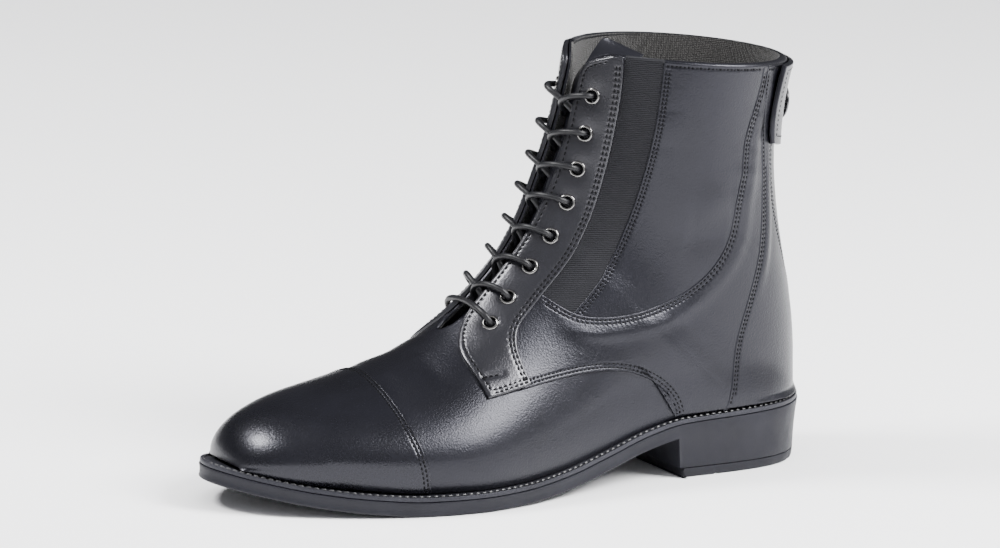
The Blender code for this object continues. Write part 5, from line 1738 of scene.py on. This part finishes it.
def welded(name, vertices, faces, finish, replaces):
    """Joins doubled points, as at the pointed ends, before the piece is made."""
    kept, index, unique = {}, [], []
    for vertex in vertices:
        key = tuple(np.round(vertex, 7))
        if key not in kept:
            kept[key] = len(unique)
            unique.append(vertex)
        index.append(kept[key])
    clean = []
    for face in faces:
        mapped = []
        for i in face:
            if index[i] not in mapped:
                mapped.append(index[i])
        if len(mapped) > 2:
            clean.append(tuple(mapped))
    return add_piece(name, unique, clean, finish, replaces)


def plate(name, shares, levels, finish, replaces):
    """A sole-shaped solid from rings of (inset, height) at levels, from the top down."""
    count = 2 * len(shares)
    vertices = np.concatenate([
        np.column_stack([closed_ring(shares, inset), height + np.zeros(count)]) for inset, height in levels])
    faces = grid_faces(len(levels), count, wrap_columns=True, flipped=True)
    for base, turn in ((0, -1), ((len(levels) - 1) * count, 1)):
        for i in range(len(shares) - 1):
            faces.append((base + i, base + i + 1, base + count - 2 - i, base + count - 1 - i)[::turn])
    return welded(name, vertices, faces, finish, replaces)


def build_outsole():
    back_start = BREAST_AT + BREAST_SLOPE / LENGTH
    shares = np.concatenate([round_shares(0, BREAST_AT, 150), round_shares(back_start, 1, 90)])
    own = both_sides(shares)
    is_heel = shares >= back_start - 1e-9
    heel = both_sides(is_heel)
    top = sole_top(own) - WELT_THICKNESS - CLEARANCE
    floor = np.where(heel, LIFT_THICKNESS + CLEARANCE, underside(own))
    taper = np.where(is_heel, LIFT_TOP_INSET, 0)
    levels = [(0.6 * MM, top), (0.15 * MM, top - 0.12 * MM), (0.0, top - 0.5 * MM)]
    for share in (0.25, 0.5, 0.75):
        hollow = 0.35 * MM * math.sin(math.pi * share)
        levels.append((taper * share + hollow, top + (floor - top) * share))
    for angle in (0, 30, 60, 90):
        bend = math.radians(angle)
        levels.append((taper + (1 - math.cos(bend)) * np.where(is_heel, HEEL_ROUND, SOLE_ROUND),
                       floor + (1 - math.sin(bend)) * np.where(heel, HEEL_ROUND, SOLE_ROUND)))
    plate("outsole_skin", shares, levels, SOLE_RUBBER, ("outsole",))


def build_top_lift():
    shares = round_shares(BREAST_AT + BREAST_SLOPE / LENGTH, 1, 110)
    own = both_sides(shares)
    on_outer = np.arange(len(own)) < len(shares)
    # Small notches in the lower edge, as the mould leaves them
    notch = sum(on_outer * np.exp(-((own - at) * LENGTH / NOTCH_WIDTH) ** 4) for at in NOTCHES) * MM
    levels = (
        (LIFT_TOP_INSET + 0.3 * MM, LIFT_THICKNESS),
        (LIFT_TOP_INSET + 0.05 * MM, LIFT_THICKNESS - 0.15 * MM),
        (LIFT_TOP_INSET, LIFT_THICKNESS - 0.5 * MM),
        (HEEL_TAPER - 0.1 * MM, 0.9 * MM + 0.9 * notch),
        (HEEL_TAPER + 0.1 * MM, 0.25 * MM + 1.3 * notch),
        (HEEL_TAPER + 0.5 * MM, 1.2 * notch),
        (HEEL_TAPER + 2.0 * MM, 0.0))
    plate("heel_top_lift_skin", shares, levels, LIFT_RUBBER, ("heel_top_lift",))


def build_welt():
    shares = np.concatenate([round_shares(0, BREAST_AT, 260), round_shares(BREAST_AT, 1, 140)[1:]])
    count = 2 * len(shares)
    wheel = WHEEL_MARK * np.cos(2 * np.pi * distances_along(closed_ring(shares, 0)) / WELT_PITCH)
    rings = []
    for inset, height, marked in WELT_PROFILE:
        ring = closed_ring(shares, inset)
        rings.append(np.column_stack([ring, sole_top(along_sole(ring)) + height + wheel * marked]))
    faces = grid_faces(len(WELT_PROFILE), count, wrap_rows=True, wrap_columns=True)
    welded("welt_skin", np.concatenate(rings), faces, WELT_LEATHER, ("welt",))
    line = closed_ring(shares, 2.05 * MM)
    points = np.column_stack([line, sole_top(along_sole(line)) + 0.10 * MM])[2:-2]
    normals = np.zeros_like(points) + (0.0, 0.0, 1.0)
    vertices, faces = stitch_mesh(points, normals, distances_along(points), WELT_PITCH, 2.5 * MM,
                                  0.42 * MM)
    add_piece("welt_stitches", vertices, faces, WELT_THREAD)


def build_insole():
    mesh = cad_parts["insole"].data
    mesh.materials.clear()
    mesh.materials.append(INSOLE_CLOTH)


def build_collar_rim():
    """The folded top edge, from one facing round the back to the other."""
    start = 0.150
    columns = 420
    around = np.linspace(start, 2 - start, columns)
    half_way = folded(around)
    gore = (half_way > LINES["facing"].around[-1]) & (half_way < LINES["shaft"].around[-1])
    top = np.where(gore, GORE_TOP, SHAFT_TOP) + 0.05 * MM
    place = np.full(columns, float(LAST_SECTION))
    normal = surface_normal(place, around)
    rim = surface(place, around) - normal * SKIN_DEPTH
    up = np.array((0.0, 0.0, 1.0))
    rings = []
    sides = 14
    for s in range(sides):
        angle = 2 * math.pi * s / sides
        middle = (top - WALL) / 2
        half = (top + WALL) / 2 + 0.1 * MM
        offset = normal * (middle + half * math.cos(angle))[:, None]
        rings.append(rim + offset + up * (-0.9 * MM + 1.3 * MM * math.sin(angle)))
    faces = grid_faces(sides, columns, wrap_rows=True)
    elastic_faces = [index for index, face in enumerate(faces) if gore[face[0] % columns]]
    faces.append([s * columns for s in range(sides)][::-1])
    faces.append([s * columns + columns - 1 for s in range(sides)])
    add_piece("collar_rim", np.concatenate(rings), faces, LEATHER, (),
              ELASTIC, elastic_faces)


LINES = seam_lines()


def build_boot():
    build_upper()
    build_toe_cap()
    for label, side in (("outer", -1), ("inner", 1)):
        build_facing(side, label)
        build_gore(side, label)
        build_shaft(side, label)
        build_quarter(side, label)
        build_counter(side, label)
    build_back()
    build_collar_rim()
    build_tongue()
    build_eyelets()
    build_snap()
    build_laces()
    build_outsole()
    build_top_lift()
    build_welt()
    build_insole()


# Studio

def build_camera():
    back = direction(CAMERA_AZIMUTH, CAMERA_ELEVATION)
    right = Vector((math.cos(CAMERA_AZIMUTH), math.sin(CAMERA_AZIMUTH), 0))
    up = back.cross(right)
    rolled_right = right * math.cos(CAMERA_ROLL) + up * math.sin(CAMERA_ROLL)
    rolled_up = up * math.cos(CAMERA_ROLL) - right * math.sin(CAMERA_ROLL)
    data = bpy.data.cameras.new("photo_camera")
    data.sensor_width = SENSOR
    data.lens = FOCAL_PIXELS * SENSOR / PHOTO_WIDTH
    data.clip_end = CAMERA_REACH
    camera = bpy.data.objects.new("photo_camera", data)
    bpy.context.scene.collection.objects.link(camera)
    turn = Matrix((rolled_right, rolled_up, back)).transposed().to_4x4()
    camera.matrix_world = Matrix.Translation(CAMERA_TARGET + back * CAMERA_DISTANCE) @ turn
    bpy.context.scene.camera = camera


def direction(azimuth, elevation):
    """A unit vector. azimuth, in radians: 0 towards the outer side, 90 degrees to the heel."""
    return Vector((math.sin(azimuth) * math.cos(elevation), -math.cos(azimuth) * math.cos(elevation),
                   math.sin(elevation)))


def area_light(name, azimuth, elevation, distance, size, radiance, glossy):
    """A soft light that looks at the boot."""
    data = bpy.data.lights.new(name, "AREA")
    data.shape = "RECTANGLE"
    data.size, data.size_y = size
    data.energy = radiance * math.pi * size[0] * size[1]
    light = bpy.data.objects.new(name, data)
    light.location = LIT_POINT + distance * direction(math.radians(azimuth), math.radians(elevation))
    light.rotation_euler = (LIT_POINT - light.location).to_track_quat("-Z", "Y").to_euler()
    light.visible_glossy = glossy
    bpy.context.scene.collection.objects.link(light)


def build_studio():
    world = bpy.data.worlds.new("studio")
    world.use_nodes = True
    nodes = Nodes(world.node_tree)
    parts = nodes.add("ShaderNodeSeparateXYZ", Vector=nodes.coordinates.outputs["Generated"])
    # The room is pale in front of the boot and darker behind it
    strength = nodes.ramp(parts.outputs["Y"], -0.8, 0.8, WORLD_FRONT, WORLD_BACK)
    nodes.put(world.node_tree.nodes["Background"], Strength=strength, Color=(0.96, 0.97, 1.0))
    bpy.context.scene.world = world
    mesh = bpy.data.meshes.new("floor")
    corners = [(x * FLOOR_REACH, y * FLOOR_REACH, 0) for x, y in ((-1, -1), (1, -1), (1, 1), (-1, 1))]
    mesh.from_pydata(corners, [], [(0, 1, 2, 3)])
    floor = bpy.data.objects.new("floor", mesh)
    paper, nodes = blank_material("pale_floor")
    nodes.shade(Base_Color=(0.90, 0.90, 0.91), Roughness=0.8)
    mesh.materials.append(paper)
    bpy.context.scene.collection.objects.link(floor)
    for light in LIGHTS:
        area_light(*light)


build_camera()
build_boot()
build_studio()
